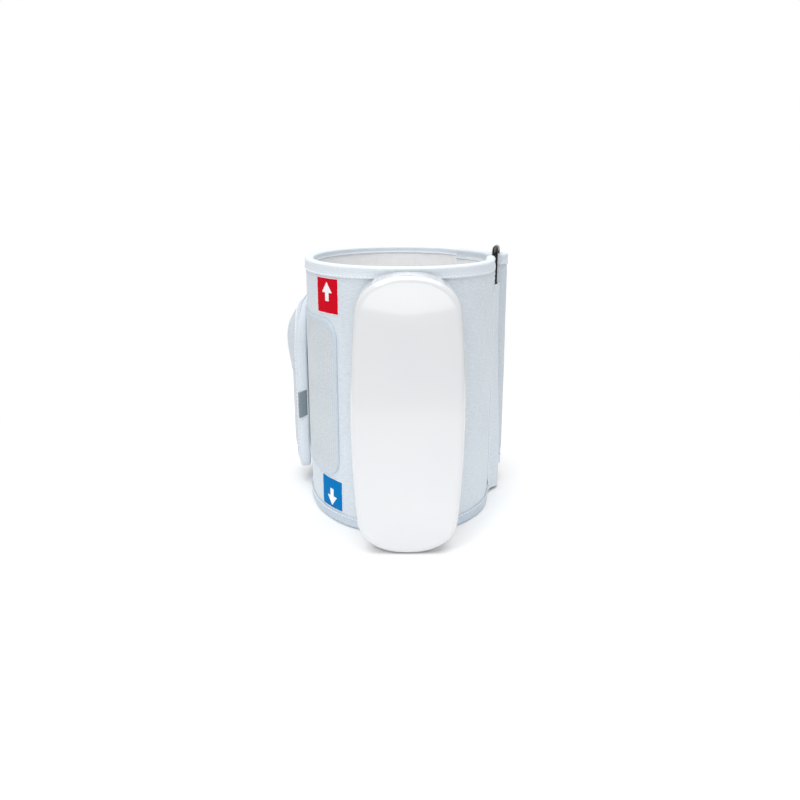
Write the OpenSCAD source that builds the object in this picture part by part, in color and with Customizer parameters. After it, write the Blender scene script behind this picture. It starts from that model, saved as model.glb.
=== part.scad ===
// Upper-arm blood pressure monitor with a preformed cuff.
// The cuff stands as an open loop. Its housing is docked on the front. A ring and a strap close it at the
// back right. In the working frame the loop's middle is at x = y = 0, the floor is z = 0, the housing faces
// -Y, and an angle round the loop is counted from +X towards +Y. placed() moves all to the part's own
// origin, the middle of its underside, which follows from the sizes.

/* [Cuff loop] */
// Outside width of the standing loop, left to right
loop_w = 115; // [106:1:126]
// Outside depth of the loop, front to back
loop_d = 152; // [142:1:166]
// Squareness of the loop: 2 is an ellipse, and more is squarer
loop_power = 2.09; // [2:0.01:2.3]
// Share by which the strap's pull flattens the back right of the loop
strap_pull = 0.05; // [0:0.01:0.08]
// Height of the cuff, floor to top edge
cuff_h = 148; // [144:1:158]

/* [Cuff layers] */
// Thickness of the edge tape on each face of the cuff
tape_t = 0.5; // [0.4:0.05:0.6]
// How far the edge tape reaches down the cuff's faces
tape_h = 6; // [4.5:0.5:7]
// Thickness of the outer cloth
cloth_t = 0.9; // [0.7:0.05:1.1]
// Thickness of the curled plastic sheet that keeps the cuff open
sheet_t = 0.5; // [0.4:0.05:0.7]
// Thickness of the empty air bladder
bladder_t = 1.6; // [1.4:0.1:2]
// Thickness of the bladder's film
film_t = 0.35; // [0.25:0.05:0.4]
// Width of the weld round the bladder
weld_w = 5; // [3:0.5:8]
// Thickness of the soft lining
lining_t = 0.7; // [0.5:0.05:0.9]
// Play between one layer and the next
layer_gap = 0.1; // [0.08:0.01:0.15]

/* [Patch and labels] */
// Thickness of the sewn fastening patch
patch_t = 1.1; // [0.8:0.1:1.4]
// Space between the down label and the patch
patch_under = 1.4; // [0.6:0.1:4]
// Space between the patch and the up label
patch_over = 3; // [0.6:0.1:6]
// Corner radius of the patch
patch_r = 11; // [6:0.5:14]
// Thickness of a sewn label
label_t = 0.5; // [0.4:0.05:0.7]
// Width of a label along the cloth
label_w = 20.5; // [16:0.5:21]
// Height of the up label
up_label_h = 19.4; // [17:0.2:20]
// Height of the down label
down_label_h = 18.5; // [16:0.5:18.5]
// Distance from the tape to each label
label_inset = 1.6; // [0.5:0.1:2]
// Length of the arrow on a label
arrow_l = 10.1; // [8:0.5:12]
// Width of the arrow's head
arrow_w = 9.1; // [6:0.5:10]

/* [Strap and ring] */
// Thickness of the strap's padded cloth
strap_t = 3; // [2.4:0.1:3.4]
// How far the ring's near bar lies inside the cuff's outer face
bar_inset = 1.65; // [1.3:0.05:2.2]
// Height of the strap's lower edge at the ring
strap_lo = 10; // [9:0.5:12]
// Height of the strap's top edge at the flap's hinge
hinge_hi = 126; // [120:1:132]
// Height of the strap's lower edge at the flap's hinge
hinge_lo = 19; // [15:0.5:24]
// Inner radius of the strap's fold round the ring
fold_r = 3.3; // [3:0.1:3.8]
// Diameter of the ring's wire
wire_d = 3.6; // [3:0.1:4]
// Radius of the ring's corners, to the middle of the wire
ring_r = 4; // [3:0.5:5]
// Space between the strap's edge and the ring, below and above
ring_play = 1.2; // [0.8:0.1:2]
// How far the ring's top stands over the strap's top edge
ring_over = 5; // [4.6:0.1:8]
// Thickness of the sleeve's cloth
sleeve_t = 1; // [0.7:0.1:1.2]
// Height of the sleeve's top
sleeve_hi = 126.5; // [110:0.5:132]
// Height of the sleeve's bottom
sleeve_lo = 2; // [1:0.5:3]
// Space round the wire in the sleeve
sleeve_gap = 0.5; // [0.4:0.05:0.6]

/* [Flap] */
// Thickness of the flap
flap_t = 3; // [2.4:0.1:3.4]
// How far the flap's middle bulges off the cuff, beyond its two ends
flap_bulge = 10; // [5:0.5:11]
// How much further the upper half of the flap bulges
flap_lean = 3.3; // [0:0.1:4]
// Distance from the cuff to the middle of the flap's end
flap_end_off = 4.9; // [4.6:0.1:6]
// Distance from the cuff to the middle of the flap's top edge near its end
flap_rim_off = 3.9; // [3.8:0.1:4.4]
// How far below the flap's top edge the bulge is full
flap_dome = 24; // [18:1:30]
// How far above the flap's lower edge the bulge is full
low_dome = 16; // [12:1:24]
// Share of the bulge that the flap's lower edge is without
low_tuck = 0.5; // [0:0.05:0.6]
// Height that the flap's top edge has before its end's upper corner
flap_end_hi = 118; // [112:1:122]
// Length along the flap of its end's upper corner
corner_l = 22; // [12:1:26]
// Height of that corner
corner_h = 24; // [10:1:30]
// Height of the flap's lower edge at its end
flap_end_lo = 10; // [9:0.5:15]
// Radius of the lower corner of the flap's end
flap_r = 8; // [6:0.5:12]
// Thickness of the hook pad on the flap's inside
hook_t = 1.6; // [1:0.1:1.8]
// Height of the pull tab
tab_h = 16.5; // [12:0.5:18]
// Height of the pull tab's lower edge
tab_z = 46.5; // [40:0.5:56]
// Thickness of the pull tab's ribbon
tab_t = 0.5; // [0.4:0.1:0.8]

/* [Housing] */
// Height of the housing
case_h = 145.4; // [143:0.2:150]
// Width of the housing at its middle
case_w = 57.7; // [57:0.1:62]
// Depth of the housing at its middle
case_mid_depth = 23.2; // [23:0.1:26]
// Depth of the housing at its sides, which wrap round the cuff
case_side_depth = 30; // [28:0.2:31]
// Housing's middle, right of the loop's middle
case_shift = 3; // [-2:0.5:5]
// Space between the housing and the floor
case_lo = 0.4; // [0.2:0.1:2]
// Radius of the housing's gently barrelled sides
barrel_r = 592; // [450:2:900]
// Height of each rounded end of the housing
case_end = 18; // [15:0.5:20]
// Wall of the two case shells
case_wall = 1.6; // [1.4:0.1:1.8]
// Radius of the front cover's shoulder
shoulder_r = 3.2; // [2.6:0.1:3.4]
// Rise of the front cover's crown
crown_h = 1.2; // [0.9:0.1:1.4]
// Distance of the case screws from the housing's centre line
screw_x = 17; // [15:0.5:17.5]
// Distance of the case screws from the housing's ends
screw_end = 13.6; // [12.5:0.1:14]

/* [Dock and air port] */
// Thickness of the dock plate on the cuff
dock_t = 1.8; // [1.4:0.1:2.2]
// Width of the dock plate
dock_w = 28; // [24:0.5:30]
// Height of the dock plate
dock_h = 84; // [80:1:88]
// Space between the dock plate and the housing
dock_gap = 0.4; // [0.3:0.1:0.6]
// Diameter of a dock post
post_d = 6; // [5:0.2:6.4]
// Length of a dock post and of the air port's tube, out of the plate
post_l = 6.5; // [5:0.1:6.8]
// Height of the lower dock post above the housing's bottom
low_post = 46; // [45:0.5:48]
// Height of the upper dock post above the housing's bottom
high_post = 108; // [96:1:112]
// Radial running clearance of the posts and of the air port
post_gap = 0.08; // [0.04:0.01:0.1]
// Height of the air port above the housing's bottom
port_z = 67; // [66:0.5:68]
// Diameter of the air port's tube
port_d = 6; // [5.4:0.1:6.2]
// Bore of the air port's tube
port_bore = 3; // [2:0.1:3.4]

/* [Start button] */
// Height of the start button above the housing's bottom
button_z = 104; // [102:0.5:108]
// Length of the start button
button_l = 15.4; // [12:0.2:16]
// Width of the start button
button_w = 5.4; // [4.6:0.1:5.6]
// How far the button stands out of the housing's side
button_out = 0.6; // [0.4:0.1:1]
// Travel of the start button
button_travel = 0.8; // [0.5:0.1:0.8]
// Space round the start button in its hole
button_gap = 0.3; // [0.2:0.05:0.35]

/* [Inside the housing] */
// Distance from the front cover's crown to the main board
board_drop = 3.4; // [3.2:0.1:3.5]
// Thickness of the main board
board_t = 1.2; // [1:0.1:1.4]
// Space between the main board and the case's walls
board_side = 5.25; // [4.75:0.25:5.75]
// Distance from the main board to the housing's ends
board_end = 19; // [18.6:0.1:22]
// Diameter of the pump motor
motor_d = 14.4; // [13:0.1:14.4]
// Length of the pump motor
motor_l = 20; // [17:0.5:21]
// Wall of the rubber sleeve round the motor
grip_t = 0.8; // [0.6:0.1:1]
// Diameter of the pump's shaft
shaft_d = 2; // [1.6:0.1:2.4]
// Radial running clearance of the pump's shaft and of the valve's plunger
shaft_gap = 0.05; // [0.03:0.01:0.08]
// Height of the pump's shaft above the housing's bottom
pump_z = 27; // [26.5:0.1:27.5]
// Outer diameter of an air tube
tube_d = 4; // [3.6:0.1:4.2]
// Bore of an air tube
tube_bore = 2.3; // [2.1:0.1:2.5]
// Space between the case's wall and the middle of the air tube that rises beside it
riser_side = 5.25; // [4.75:0.25:5.5]
// Height of the release valve's lower end above the housing's bottom
valve_z = 44; // [43:0.5:44.5]
// Diameter of the release valve's plunger
plunger_d = 3; // [2.4:0.1:3.4]
// Lift of the release valve's plunger
plunger_lift = 0.6; // [0.4:0.1:0.8]
// Thickness of the battery
battery_t = 5; // [4:0.1:5.4]
// Space between the battery and the axis of the upper case screws
battery_end = 5.8; // [4.6:0.1:12]
// Height of the battery's lower end above the housing's bottom
battery_z = 84; // [83:0.5:86]
// Height of the light pipe above the housing's bottom
light_z = 88; // [86:0.5:90]
// Diameter of the light pipe
light_d = 2; // [1.6:0.1:2.4]
// Height of the charging socket's middle above the housing's bottom
socket_z = 66; // [60:0.5:72]

/* [Hidden] */
$fn = 48;

// Colours, as the photo shows them
cloth_colour = [0.83, 0.87, 0.91];
tape_colour = [0.86, 0.91, 0.95];
lining_colour = [0.9, 0.91, 0.92];
case_colour = [0.95, 0.96, 0.97];
steel_colour = [0.7, 0.71, 0.73];
rubber_colour = [0.3, 0.31, 0.33];
board_colour = [0.1, 0.38, 0.22];

// Angles round the loop, in degrees
facet = 3;
cuff_from = 42;
cuff_to = 355.3;
bladder_from = 54;
bladder_to = 345;
near_bar_a = -2;
far_bar_a = 9;
flat_to_a = 66;
hinge_a = 140.5;
flap_to_a = 180;
sleeve_seam_a = -12;
patch_from_a = 150;
patch_to_a = 233;
label_from_a = 217;

// Faces of the cuff's layers, as distances out from the cuff's outer face
cloth_out = -(tape_t + layer_gap);
cloth_in = cloth_out - cloth_t;
sheet_out = cloth_in - layer_gap;
sheet_in = sheet_out - sheet_t;
bladder_out = sheet_in - layer_gap;
bladder_in = bladder_out - bladder_t;
lining_out = bladder_in - layer_gap;
lining_in = lining_out - lining_t;
wall_t = -lining_in + layer_gap + tape_t;
on_cloth = cloth_out + layer_gap;
cap_t = tape_t + 0.3;
layer_z = cap_t + layer_gap;

// The strap's middle on the cuff's inside run and on its way back, and the bars of the ring
tape_swell = layer_gap + tape_t;
strap_in_off = -wall_t / 2;
fold_mid_r = fold_r + strap_t / 2;
far_bar_off = strap_in_off + fold_mid_r;
lay_off = 2 * layer_gap + tape_swell + strap_t / 2;
settle_a = 36;
wire_r = wire_d / 2;
sleeve_mid_r = wire_r + sleeve_gap + sleeve_t / 2;
ring_lo = strap_lo - ring_play - wire_r;
ring_hi = cuff_h + ring_over - wire_r;
hinge_gap_a = 0.4;
lean_lo = 66;
lean_hi = 94;

// The cuff's angles that the dock plate and the air port lie between
dock_from_a = 250;
dock_to_a = 295;

// Levels across the housing, on Y, and heights above its bottom
dock_out = on_cloth + dock_t;
case_off = dock_out + dock_gap;
front_y = -(loop_d / 2 + case_off + case_mid_depth);
rim_y = front_y + case_side_depth;
part_y = front_y + crown_h + shoulder_r;
back_in_y = -(loop_d / 2 + case_off + case_wall);
board_y = front_y + board_drop;
parts_y = board_y + board_t + layer_gap;
air_y = back_in_y - layer_gap - 0.15 - grip_t - motor_d / 2;
post_tip_y = -(loop_d / 2 + dock_out + post_l);
side_y = parts_y + 6.8;
tongue_t = 0.8;
boss_r = 2.5;
nipple_r = tube_bore / 2 - shaft_gap;
stem_gap = 0.1;
socket_r = 5;

// Places across the housing, from its middle: the inner face of its side, the air tube that rises beside
// it, the tee, the pressure sensor, the push switch and the pump's parts, which fill what the motor and
// the tubes leave
inside_x = case_w / 2 - case_wall;
board_w = 2 * (inside_x - board_side);
tube_bend = 3;
riser_x = inside_x - riser_side;
tee_x = riser_x - 9;
tee_r = 2.2;
sensor_x = -14;
switch_x = inside_x - 5.05;
barb_l = 2.4;
barb_gap = 0.4;
socket_barb_l = tee_x - tee_r - barb_l - barb_gap - socket_r;
membrane_t = 1.2;
cap_l = 3;
head_l = riser_x - tube_bend - barb_l - barb_gap - cap_l - membrane_t;
cap_x = head_l + membrane_t;

function lobe(v, p) = (v < 0 ? -1 : 1) * pow(abs(v), p);
function between(a, b, s) = a + (b - a) * s;
function ease(s) = s <= 0 ? 0 : s >= 1 ? 1 : (1 - cos(180 * s)) / 2;
function unit(v) = v / norm(v);
function flattened(a) = a <= far_bar_a || a >= flat_to_a ? 0
    : strap_pull * pow(sin(180 * (a - far_bar_a) / (flat_to_a - far_bar_a)), 2);

// A point of the cuff's outer face, the direction straight out of it, and a point that far out
function on_loop(a) = (1 - flattened(a)) * [
    loop_w / 2 * lobe(cos(a), 2 / loop_power),
    loop_d / 2 * lobe(sin(a), 2 / loop_power)];
function outward(a) = let (d = on_loop(a + 0.5) - on_loop(a - 0.5)) unit([d[1], -d[0]]);
function at(a, off) = on_loop(a) + off * outward(a);
function mm_per_degree(a) = norm(on_loop(a + 0.5) - on_loop(a - 0.5));
function loop_y(x) = loop_d / 2 * pow(1 - pow(abs(x) / (loop_w / 2), loop_power), 1 / loop_power);

near_bar = at(near_bar_a, -bar_inset);
far_bar = at(far_bar_a, far_bar_off);

// A stretch of the cuff's wall from angle a0 to a1, between two distances out of the face and two heights
module wall(a0, a1, in, out, z0, z1) {
    n = ceil((a1 - a0) / facet);
    translate([0, 0, z0])
        linear_extrude(z1 - z0)
            polygon(concat(
                [for (i = [0 : n]) at(between(a0, a1, i / n), out)],
                [for (i = [n : -1 : 0]) at(between(a0, a1, i / n), in)]));
}

// Everything inside a line that far out of the cuff's face
module core(off, z0, z1) {
    translate([0, 0, z0])
        linear_extrude(z1 - z0)
            polygon([for (a = [0 : facet : 359]) at(a, off)]);
}

module along_y(y0, y1) {
    translate([0, y1, 0])
        rotate([90, 0, 0])
            linear_extrude(y1 - y0)
                children();
}

module rod_y(x, z, r, y0, y1) {
    translate([x, y1, z])
        rotate([90, 0, 0])
            cylinder(r = r, h = y1 - y0);
}

module rod_x(y, z, r, x0, x1) {
    translate([x0, y, z])
        rotate([0, 90, 0])
            cylinder(r = r, h = x1 - x0);
}

module rod_z(x, y, r, z0, z1) {
    translate([x, y, z0])
        cylinder(r = r, h = z1 - z0);
}

module block(x0, x1, y0, y1, z0, z1) {
    translate([x0, y0, z0])
        cube([x1 - x0, y1 - y0, z1 - z0]);
}

// A bar along X with a long round section, l high and w deep
module pill_x(x0, x1, y, z, l, w) {
    for (s = [-1, 1])
        rod_x(y, z + s * (l - w) / 2, w / 2, x0, x1);
    block(x0, x1, y - w / 2, y + w / 2, z - (l - w) / 2, z + (l - w) / 2);
}

// A closed skin between two grids of points, front and back, with the same rows and columns
module quilt(front, back) {
    n = len(front);
    m = len(front[0]);
    points = concat([for (row = front) each row], [for (row = back) each row]);
    f = function(i, j) i * m + j;
    b = function(i, j) n * m + i * m + j;
    faces = concat(
        [for (i = [0 : n - 2], j = [0 : m - 2]) each [
            [f(i, j), f(i, j + 1), f(i + 1, j + 1)], [f(i, j), f(i + 1, j + 1), f(i + 1, j)],
            [b(i, j), b(i + 1, j + 1), b(i, j + 1)], [b(i, j), b(i + 1, j), b(i + 1, j + 1)]]],
        [for (i = [0 : n - 2]) each [
            [f(i, 0), f(i + 1, 0), b(i + 1, 0)], [f(i, 0), b(i + 1, 0), b(i, 0)],
            [f(i, m - 1), b(i + 1, m - 1), f(i + 1, m - 1)], [f(i, m - 1), b(i, m - 1), b(i + 1, m - 1)]]],
        [for (j = [0 : m - 2]) each [
            [f(0, j), b(0, j + 1), f(0, j + 1)], [f(0, j), b(0, j), b(0, j + 1)],
            [f(n - 1, j), f(n - 1, j + 1), b(n - 1, j + 1)], [f(n - 1, j), b(n - 1, j + 1), b(n - 1, j)]]]);
    polyhedron(points, faces, convexity = 6);
}

// A closed skin over rows of points, each row a section of an edge tape, with its two ends shut
module tape(rows) {
    n = len(rows);
    m = len(rows[0]);
    points = [for (row = rows) each row];
    faces = concat(
        [for (i = [0 : n - 2], j = [0 : m - 1]) let (k = (j + 1) % m) each [
            [i * m + j, i * m + k, (i + 1) * m + k], [i * m + j, (i + 1) * m + k, (i + 1) * m + j]]],
        [[for (j = [m - 1 : -1 : 0]) j]],
        [[for (j = [0 : m - 1]) (n - 1) * m + j]]);
    polyhedron(points, faces, convexity = 6);
}

// The tape's section round a cloth that is t thick, with its two rounded corners. A point of it holds the
// distance out of the cloth's middle and the distance beyond the cloth's edge.
function tape_profile(t) = let (o = t / 2 + tape_swell, i = t / 2 + layer_gap, r = 0.8, h = tape_h / 2) [
    [o, -tape_h], [o, -h], [o, cap_t - r], [o - r, cap_t],
    [r - o, cap_t], [-o, cap_t - r], [-o, -h], [-o, -tape_h],
    [-i, -tape_h], [-i, -h], [-i, layer_gap], [i, layer_gap], [i, -h], [i, -tape_h]];

/* Cuff */

// A hole through the cuff's front wall at the housing's own x and height
module cuff_hole(x, z, r) {
    rod_y(case_shift + x, case_lo + z, r, -loop_d / 2 - 5, -loop_d / 2 + 12);
}

dock_stake_x = dock_w / 2 - 4;
dock_lo = (low_post + high_post - dock_h) / 2;
stake_r = 1.2;

module at_stakes(r) {
    for (x = [-dock_stake_x, dock_stake_x], z = [dock_lo + 8, dock_lo + dock_h - 8])
        cuff_hole(x, z, r);
}

module outer_cloth() {
    color(cloth_colour)
        difference() {
            wall(cuff_from, cuff_to, cloth_in, cloth_out, layer_z, cuff_h - layer_z);
            cuff_hole(0, port_z, port_d / 2 + 0.3);
            at_stakes(stake_r + layer_gap);
        }
}

flange_r = port_d / 2 + 3.5;

module curl_sheet() {
    color([0.85, 0.87, 0.88])
        difference() {
            wall(bladder_from, bladder_to, sheet_in, sheet_out, tape_h + 1, cuff_h - tape_h - 1);
            cuff_hole(0, port_z, flange_r + 0.3);
            at_stakes(stake_r + layer_gap);
        }
}

module air_bladder() {
    edge_a = weld_w / mm_per_degree(bladder_from);
    z0 = tape_h + 2;
    z1 = cuff_h - tape_h - 2;
    color([0.62, 0.66, 0.72])
        difference() {
            wall(bladder_from, bladder_to, bladder_in, bladder_out, z0, z1);
            wall(bladder_from + edge_a, bladder_to - edge_a, bladder_in + film_t, bladder_out - film_t,
                z0 + weld_w, z1 - weld_w);
            rod_y(case_shift, case_lo + port_z, port_bore / 2,
                -loop_d / 2, -loop_y(case_shift) - (bladder_in + bladder_out) / 2);
        }
}

module lining() {
    color(lining_colour)
        wall(cuff_from, cuff_to, lining_in, lining_out, layer_z, cuff_h - layer_z);
}

// The tape folded over one edge of the cuff; up is 1 at the top edge and -1 at the bottom edge
module cuff_tape(up) {
    edge = up > 0 ? cuff_h : 0;
    cap = edge - up * cap_t;
    leg = edge - up * tape_h;
    bevel = edge - up * cap_t / 2;
    color(tape_colour)
        union() {
            wall(cuff_from, cuff_to, -tape_t, 0, min(cap, leg), max(cap, leg));
            wall(cuff_from, cuff_to, -wall_t, tape_t - wall_t, min(cap, leg), max(cap, leg));
            wall(cuff_from, cuff_to, -wall_t, 0, min(cap, bevel), max(cap, bevel));
            wall(cuff_from, cuff_to, 0.5 - wall_t, -0.5, min(edge, bevel), max(edge, bevel));
        }
}

module top_tape() {
    cuff_tape(1);
}

module bottom_tape() {
    cuff_tape(-1);
}

// How far a rounded corner draws the edge in, at a distance d from the corner's tip
function drawn_in(d, r) = d >= r ? 0 : r - sqrt(max(0, r * r - (r - d) * (r - d)));

up_label_z = cuff_h - tape_h - label_inset - up_label_h;
down_label_z = tape_h + label_inset;
patch_z = down_label_z + down_label_h + patch_under;
patch_h = up_label_z - patch_over - patch_z;

module fastening_patch() {
    steps = [0, 0.08, 0.3, 0.6, 1];
    heights = concat([for (s = steps) s * patch_r], [for (s = [4 : -1 : 0]) patch_h - steps[s] * patch_r]);
    columns = 20;
    edge_a = 1 / mm_per_degree(patch_to_a);
    grid = function(off) [for (h = heights) let (in = drawn_in(min(h, patch_h - h), patch_r) * edge_a)
        [for (j = [0 : columns]) let (p = at(between(patch_from_a + in, patch_to_a - in, j / columns), off))
            [p[0], p[1], patch_z + h]]];
    color([0.84, 0.88, 0.9])
        quilt(grid(on_cloth + patch_t), grid(on_cloth));
}

module label(z, h) {
    wall(label_from_a, label_from_a + label_w / mm_per_degree(label_from_a + 8),
        on_cloth, on_cloth + label_t, z, z + h);
}

// A flat arrow on a label, from height z; up is 1 or -1
module arrow(z, up) {
    mid_a = label_from_a + label_w / 2 / mm_per_degree(label_from_a + 8);
    a_mm = 1 / mm_per_degree(mid_a);
    neck = arrow_l * 0.5;
    outline = [[0, arrow_w * 0.18], [neck, arrow_w * 0.18], [neck + 0.05, arrow_w / 2], [arrow_l, 0.2]];
    rows = up > 0 ? outline : [for (i = [3 : -1 : 0]) [-outline[i][0], outline[i][1]]];
    grid = function(off) [for (q = rows)
        [for (s = [-1, 0, 1]) let (p = at(mid_a + s * q[1] * a_mm, off)) [p[0], p[1], z + q[0]]]];
    quilt(grid(on_cloth + label_t + 0.35), grid(on_cloth + label_t + 0.05));
}

module up_label() {
    color([0.87, 0.04, 0.13])
        label(up_label_z, up_label_h);
}

module up_arrow() {
    color("white")
        arrow(up_label_z + up_label_h - arrow_l - 2.4, 1);
}

module down_label() {
    color([0.02, 0.45, 0.72])
        label(down_label_z, down_label_h);
}

module down_arrow() {
    color("white")
        arrow(down_label_z + arrow_l + 2, -1);
}

// A strip of even thickness along a plan path; a point of the path holds its place and the way out of it
module strip(path, t, z0, z1) {
    n = len(path);
    translate([0, 0, z0])
        linear_extrude(z1 - z0)
            polygon(concat(
                [for (q = path) q[0] + q[1] * t / 2],
                [for (i = [n - 1 : -1 : 0]) path[i][0] - path[i][1] * t / 2]));
}

// The sleeve's cloth runs off the cuff's outer face, round the ring's near bar and back on its inner face
module ring_sleeve() {
    face_off = layer_gap + sleeve_t / 2;
    over = sleeve_mid_r - bar_inset;
    turn = atan2(outward(near_bar_a)[1], outward(near_bar_a)[0]);
    leg_out = [for (i = [0 : 6]) let (a = between(sleeve_seam_a, near_bar_a, i / 7))
        [at(a, between(face_off, over, ease(i / 6.5))), outward(a)]];
    bend = [for (i = [0 : 8]) let (d = [cos(turn + 22.5 * i), sin(turn + 22.5 * i)])
        [near_bar + sleeve_mid_r * d, d]];
    leg_in = [for (i = [6 : -1 : 0]) let (a = between(sleeve_seam_a, near_bar_a, i / 7))
        [at(a, between(-wall_t - face_off, -bar_inset - sleeve_mid_r, ease((i - 5) / 2))), -outward(a)]];
    color(cloth_colour)
        difference() {
            strip(concat(leg_out, bend, leg_in), sleeve_t, sleeve_lo, sleeve_hi);
            translate([near_bar[0], near_bar[1], 0])
                rotate([0, 0, turn]) {
                    block(-sleeve_mid_r - 2, wire_r + sleeve_gap / 2, -wire_r - 1, sleeve_mid_r + 2,
                        sleeve_lo - 1, ring_lo + ring_r);
                    block(-sleeve_mid_r - 2, sleeve_mid_r + 2, 0, sleeve_mid_r + 2,
                        sleeve_lo - 1, ring_lo + ring_r);
                }
        }
}

/* Strap and ring */

// Rows of the strap: place, way out of its outer side, lower edge and top edge of its cloth
function strap_row(p, d, lo, hi) = [[p[0], p[1]], d, lo + cap_t, hi - cap_t];
inner_rows = [for (i = [0 : 10]) let (a = between(cuff_from - 0.3, far_bar_a, i / 11))
    strap_row(at(a, strap_in_off), -outward(a), between(0, strap_lo, ease(i / 10)), cuff_h)];
fold_turn = atan2(outward(far_bar_a)[1], outward(far_bar_a)[0]);
fold_rows = [for (i = [0 : 12]) let (t = fold_turn + 180 + 15 * i, d = [cos(t), sin(t)])
    strap_row(far_bar + fold_mid_r * d, d, strap_lo, cuff_h)];
back_rows = [for (i = [1 : 36]) let (
    a = between(far_bar_a, hinge_a - hinge_gap_a, i / 36),
    off = between(far_bar_off + fold_mid_r, lay_off, ease((a - far_bar_a) / (settle_a - far_bar_a))))
    strap_row(at(a, off), outward(a), between(strap_lo, hinge_lo, ease(i / 36)),
        between(cuff_h, hinge_hi, ease(i / 36)))];
strap_rows = concat(inner_rows, fold_rows, back_rows);

module strap() {
    grid = function(side) [for (q = strap_rows) let (p = q[0] + side * strap_t / 2 * q[1])
        [for (s = [0, 0.5, 1]) [p[0], p[1], between(q[2], q[3], s)]]];
    color(cloth_colour)
        quilt(grid(1), grid(-1));
}

module strap_tape() {
    rows = [for (i = [1 : len(strap_rows) - 1]) strap_rows[i]];
    color(tape_colour)
        for (up = [-1, 1])
            tape([for (q = rows) [for (p = tape_profile(strap_t)) let (xy = q[0] + up * p[0] * q[1])
                [xy[0], xy[1], up > 0 ? q[3] + p[1] : q[2] - p[1]]]]);
}

module metal_ring() {
    across = far_bar - near_bar;
    // Rounded to a hundredth, so that the bars and the corners meet exactly
    w = round(100 * norm(across)) / 100;
    color(steel_colour)
        translate([near_bar[0], near_bar[1], 0])
            rotate([0, 0, atan2(across[1], across[0])]) {
                for (x = [0, w])
                    rod_z(x, 0, wire_r, ring_lo + ring_r, ring_hi - ring_r);
                for (z = [ring_lo, ring_hi])
                    rod_x(0, z, wire_r, ring_r, w - ring_r);
                for (k = [0 : 3])
                    translate([k == 0 || k == 3 ? w - ring_r : ring_r, 0,
                        k < 2 ? ring_hi - ring_r : ring_lo + ring_r])
                        rotate([90, 0, 0])
                            rotate([0, 0, 90 * k])
                                rotate_extrude(angle = 90)
                                    translate([ring_r, 0])
                                        circle(r = wire_r);
            }
}

/* Flap */

// Heights of the flap's cloth at a share u of its length, which is measured halfway up
flap_quarters = [for (i = [0 : 4])
    at(between(hinge_a + hinge_gap_a, flap_to_a, i / 4), plain_off(i / 4, flap_end_off, flap_bulge))];
flap_length = norm(flap_quarters[4] - flap_quarters[3]) + norm(flap_quarters[3] - flap_quarters[2])
    + norm(flap_quarters[2] - flap_quarters[1]) + norm(flap_quarters[1] - flap_quarters[0]);
function flap_hi(u) = between(hinge_hi, flap_end_hi, ease(1.1 * u))
    - cap_t - drawn_in((1 - u) * flap_length, corner_l) * corner_h / corner_l;
function flap_lo(u) = between(hinge_lo, flap_end_lo, ease((u - 0.4) / 0.5))
    + cap_t + drawn_in((1 - u) * flap_length, flap_r);

// Distance from the cuff to the flap's middle: from the strap over the patch's edge to the end, with a bulge
// between them that domes over towards both edges
function plain_off(u, end_off, bulge) = between(lay_off, flap_rim_off - 0.15, ease(u / 0.22))
    + (end_off - flap_rim_off + 0.15) * ease((u - 0.2) / 0.8)
    + bulge * pow(sin(180 * pow(min(1, max(0, u)), 1.1)), 1.25);
function dome(d, full) = 1 - pow(1 - min(1, max(0, d / full)), 2);
function flap_off(u, z) = let (v = min(1, max(0, u))) plain_off(u,
    between(flap_end_off, flap_rim_off, ease((z - lean_hi + 2) / 22)),
    (flap_bulge + flap_lean * ease((z - lean_lo) / (lean_hi - lean_lo)))
        * dome(flap_hi(v) - z, flap_dome) * (1 - low_tuck * (1 - dome(z - flap_lo(v), low_dome))));
function flap_mid(u, z) = at(between(hinge_a + hinge_gap_a, flap_to_a, u), flap_off(u, z));
function flap_out(u, z) = let (d = flap_mid(min(1, u + 0.02), z) - flap_mid(max(0, u - 0.02), z))
    unit([d[1], -d[0]]);
flap_steps = 24;
// How much thinner the flap's cloth is on each face than the space in its tape
tuck = 0.15;
// Shares of the flap's length between which the hook pad lies
pad_from = 0.62;
pad_to = 0.88;
// How much further along the flap its top edge is read for the pad's, to keep clear of the corner's tape
pad_turn = 0.07;
// Shares of the length where rows of the flap lie, closer together at the rounded end
corner_u = 1 - corner_l / flap_length;
flap_us = concat([for (i = [0 : flap_steps - 10]) between(0, corner_u, i / (flap_steps - 10))],
    [for (t = [10 : 10 : 90]) between(corner_u, 1, sin(t))]);
function flap_point(u, z, off) = let (p = flap_mid(u, z) + off * flap_out(u, z)) [p[0], p[1], z];

// Heights of the flap's rows of points at a share u of its length: two of them lie under each edge tape
function flap_levels(u) = let (lo = flap_lo(u), hi = flap_hi(u)) concat(
    [lo, lo + tape_h / 2],
    [for (i = [0 : 15]) between(lo + tape_h, hi - tape_h, i / 15)],
    [hi - tape_h / 2, hi]);

module flap() {
    grid = function(side) [for (u = flap_us)
        [for (z = flap_levels(u)) flap_point(u, z, side * (flap_t / 2 - tuck))]];
    color(cloth_colour)
        quilt(grid(1), grid(-1));
}

// The edge of the flap from the hinge along the top, down the end and back along the bottom
flap_edge = concat(
    [for (u = flap_us) [u, flap_hi(u)]],
    [for (s = [1 : 5]) [1, between(flap_hi(1), flap_lo(1), s / 6)]],
    [for (i = [len(flap_us) - 1 : -1 : 0]) [flap_us[i], flap_lo(flap_us[i])]]);

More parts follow.
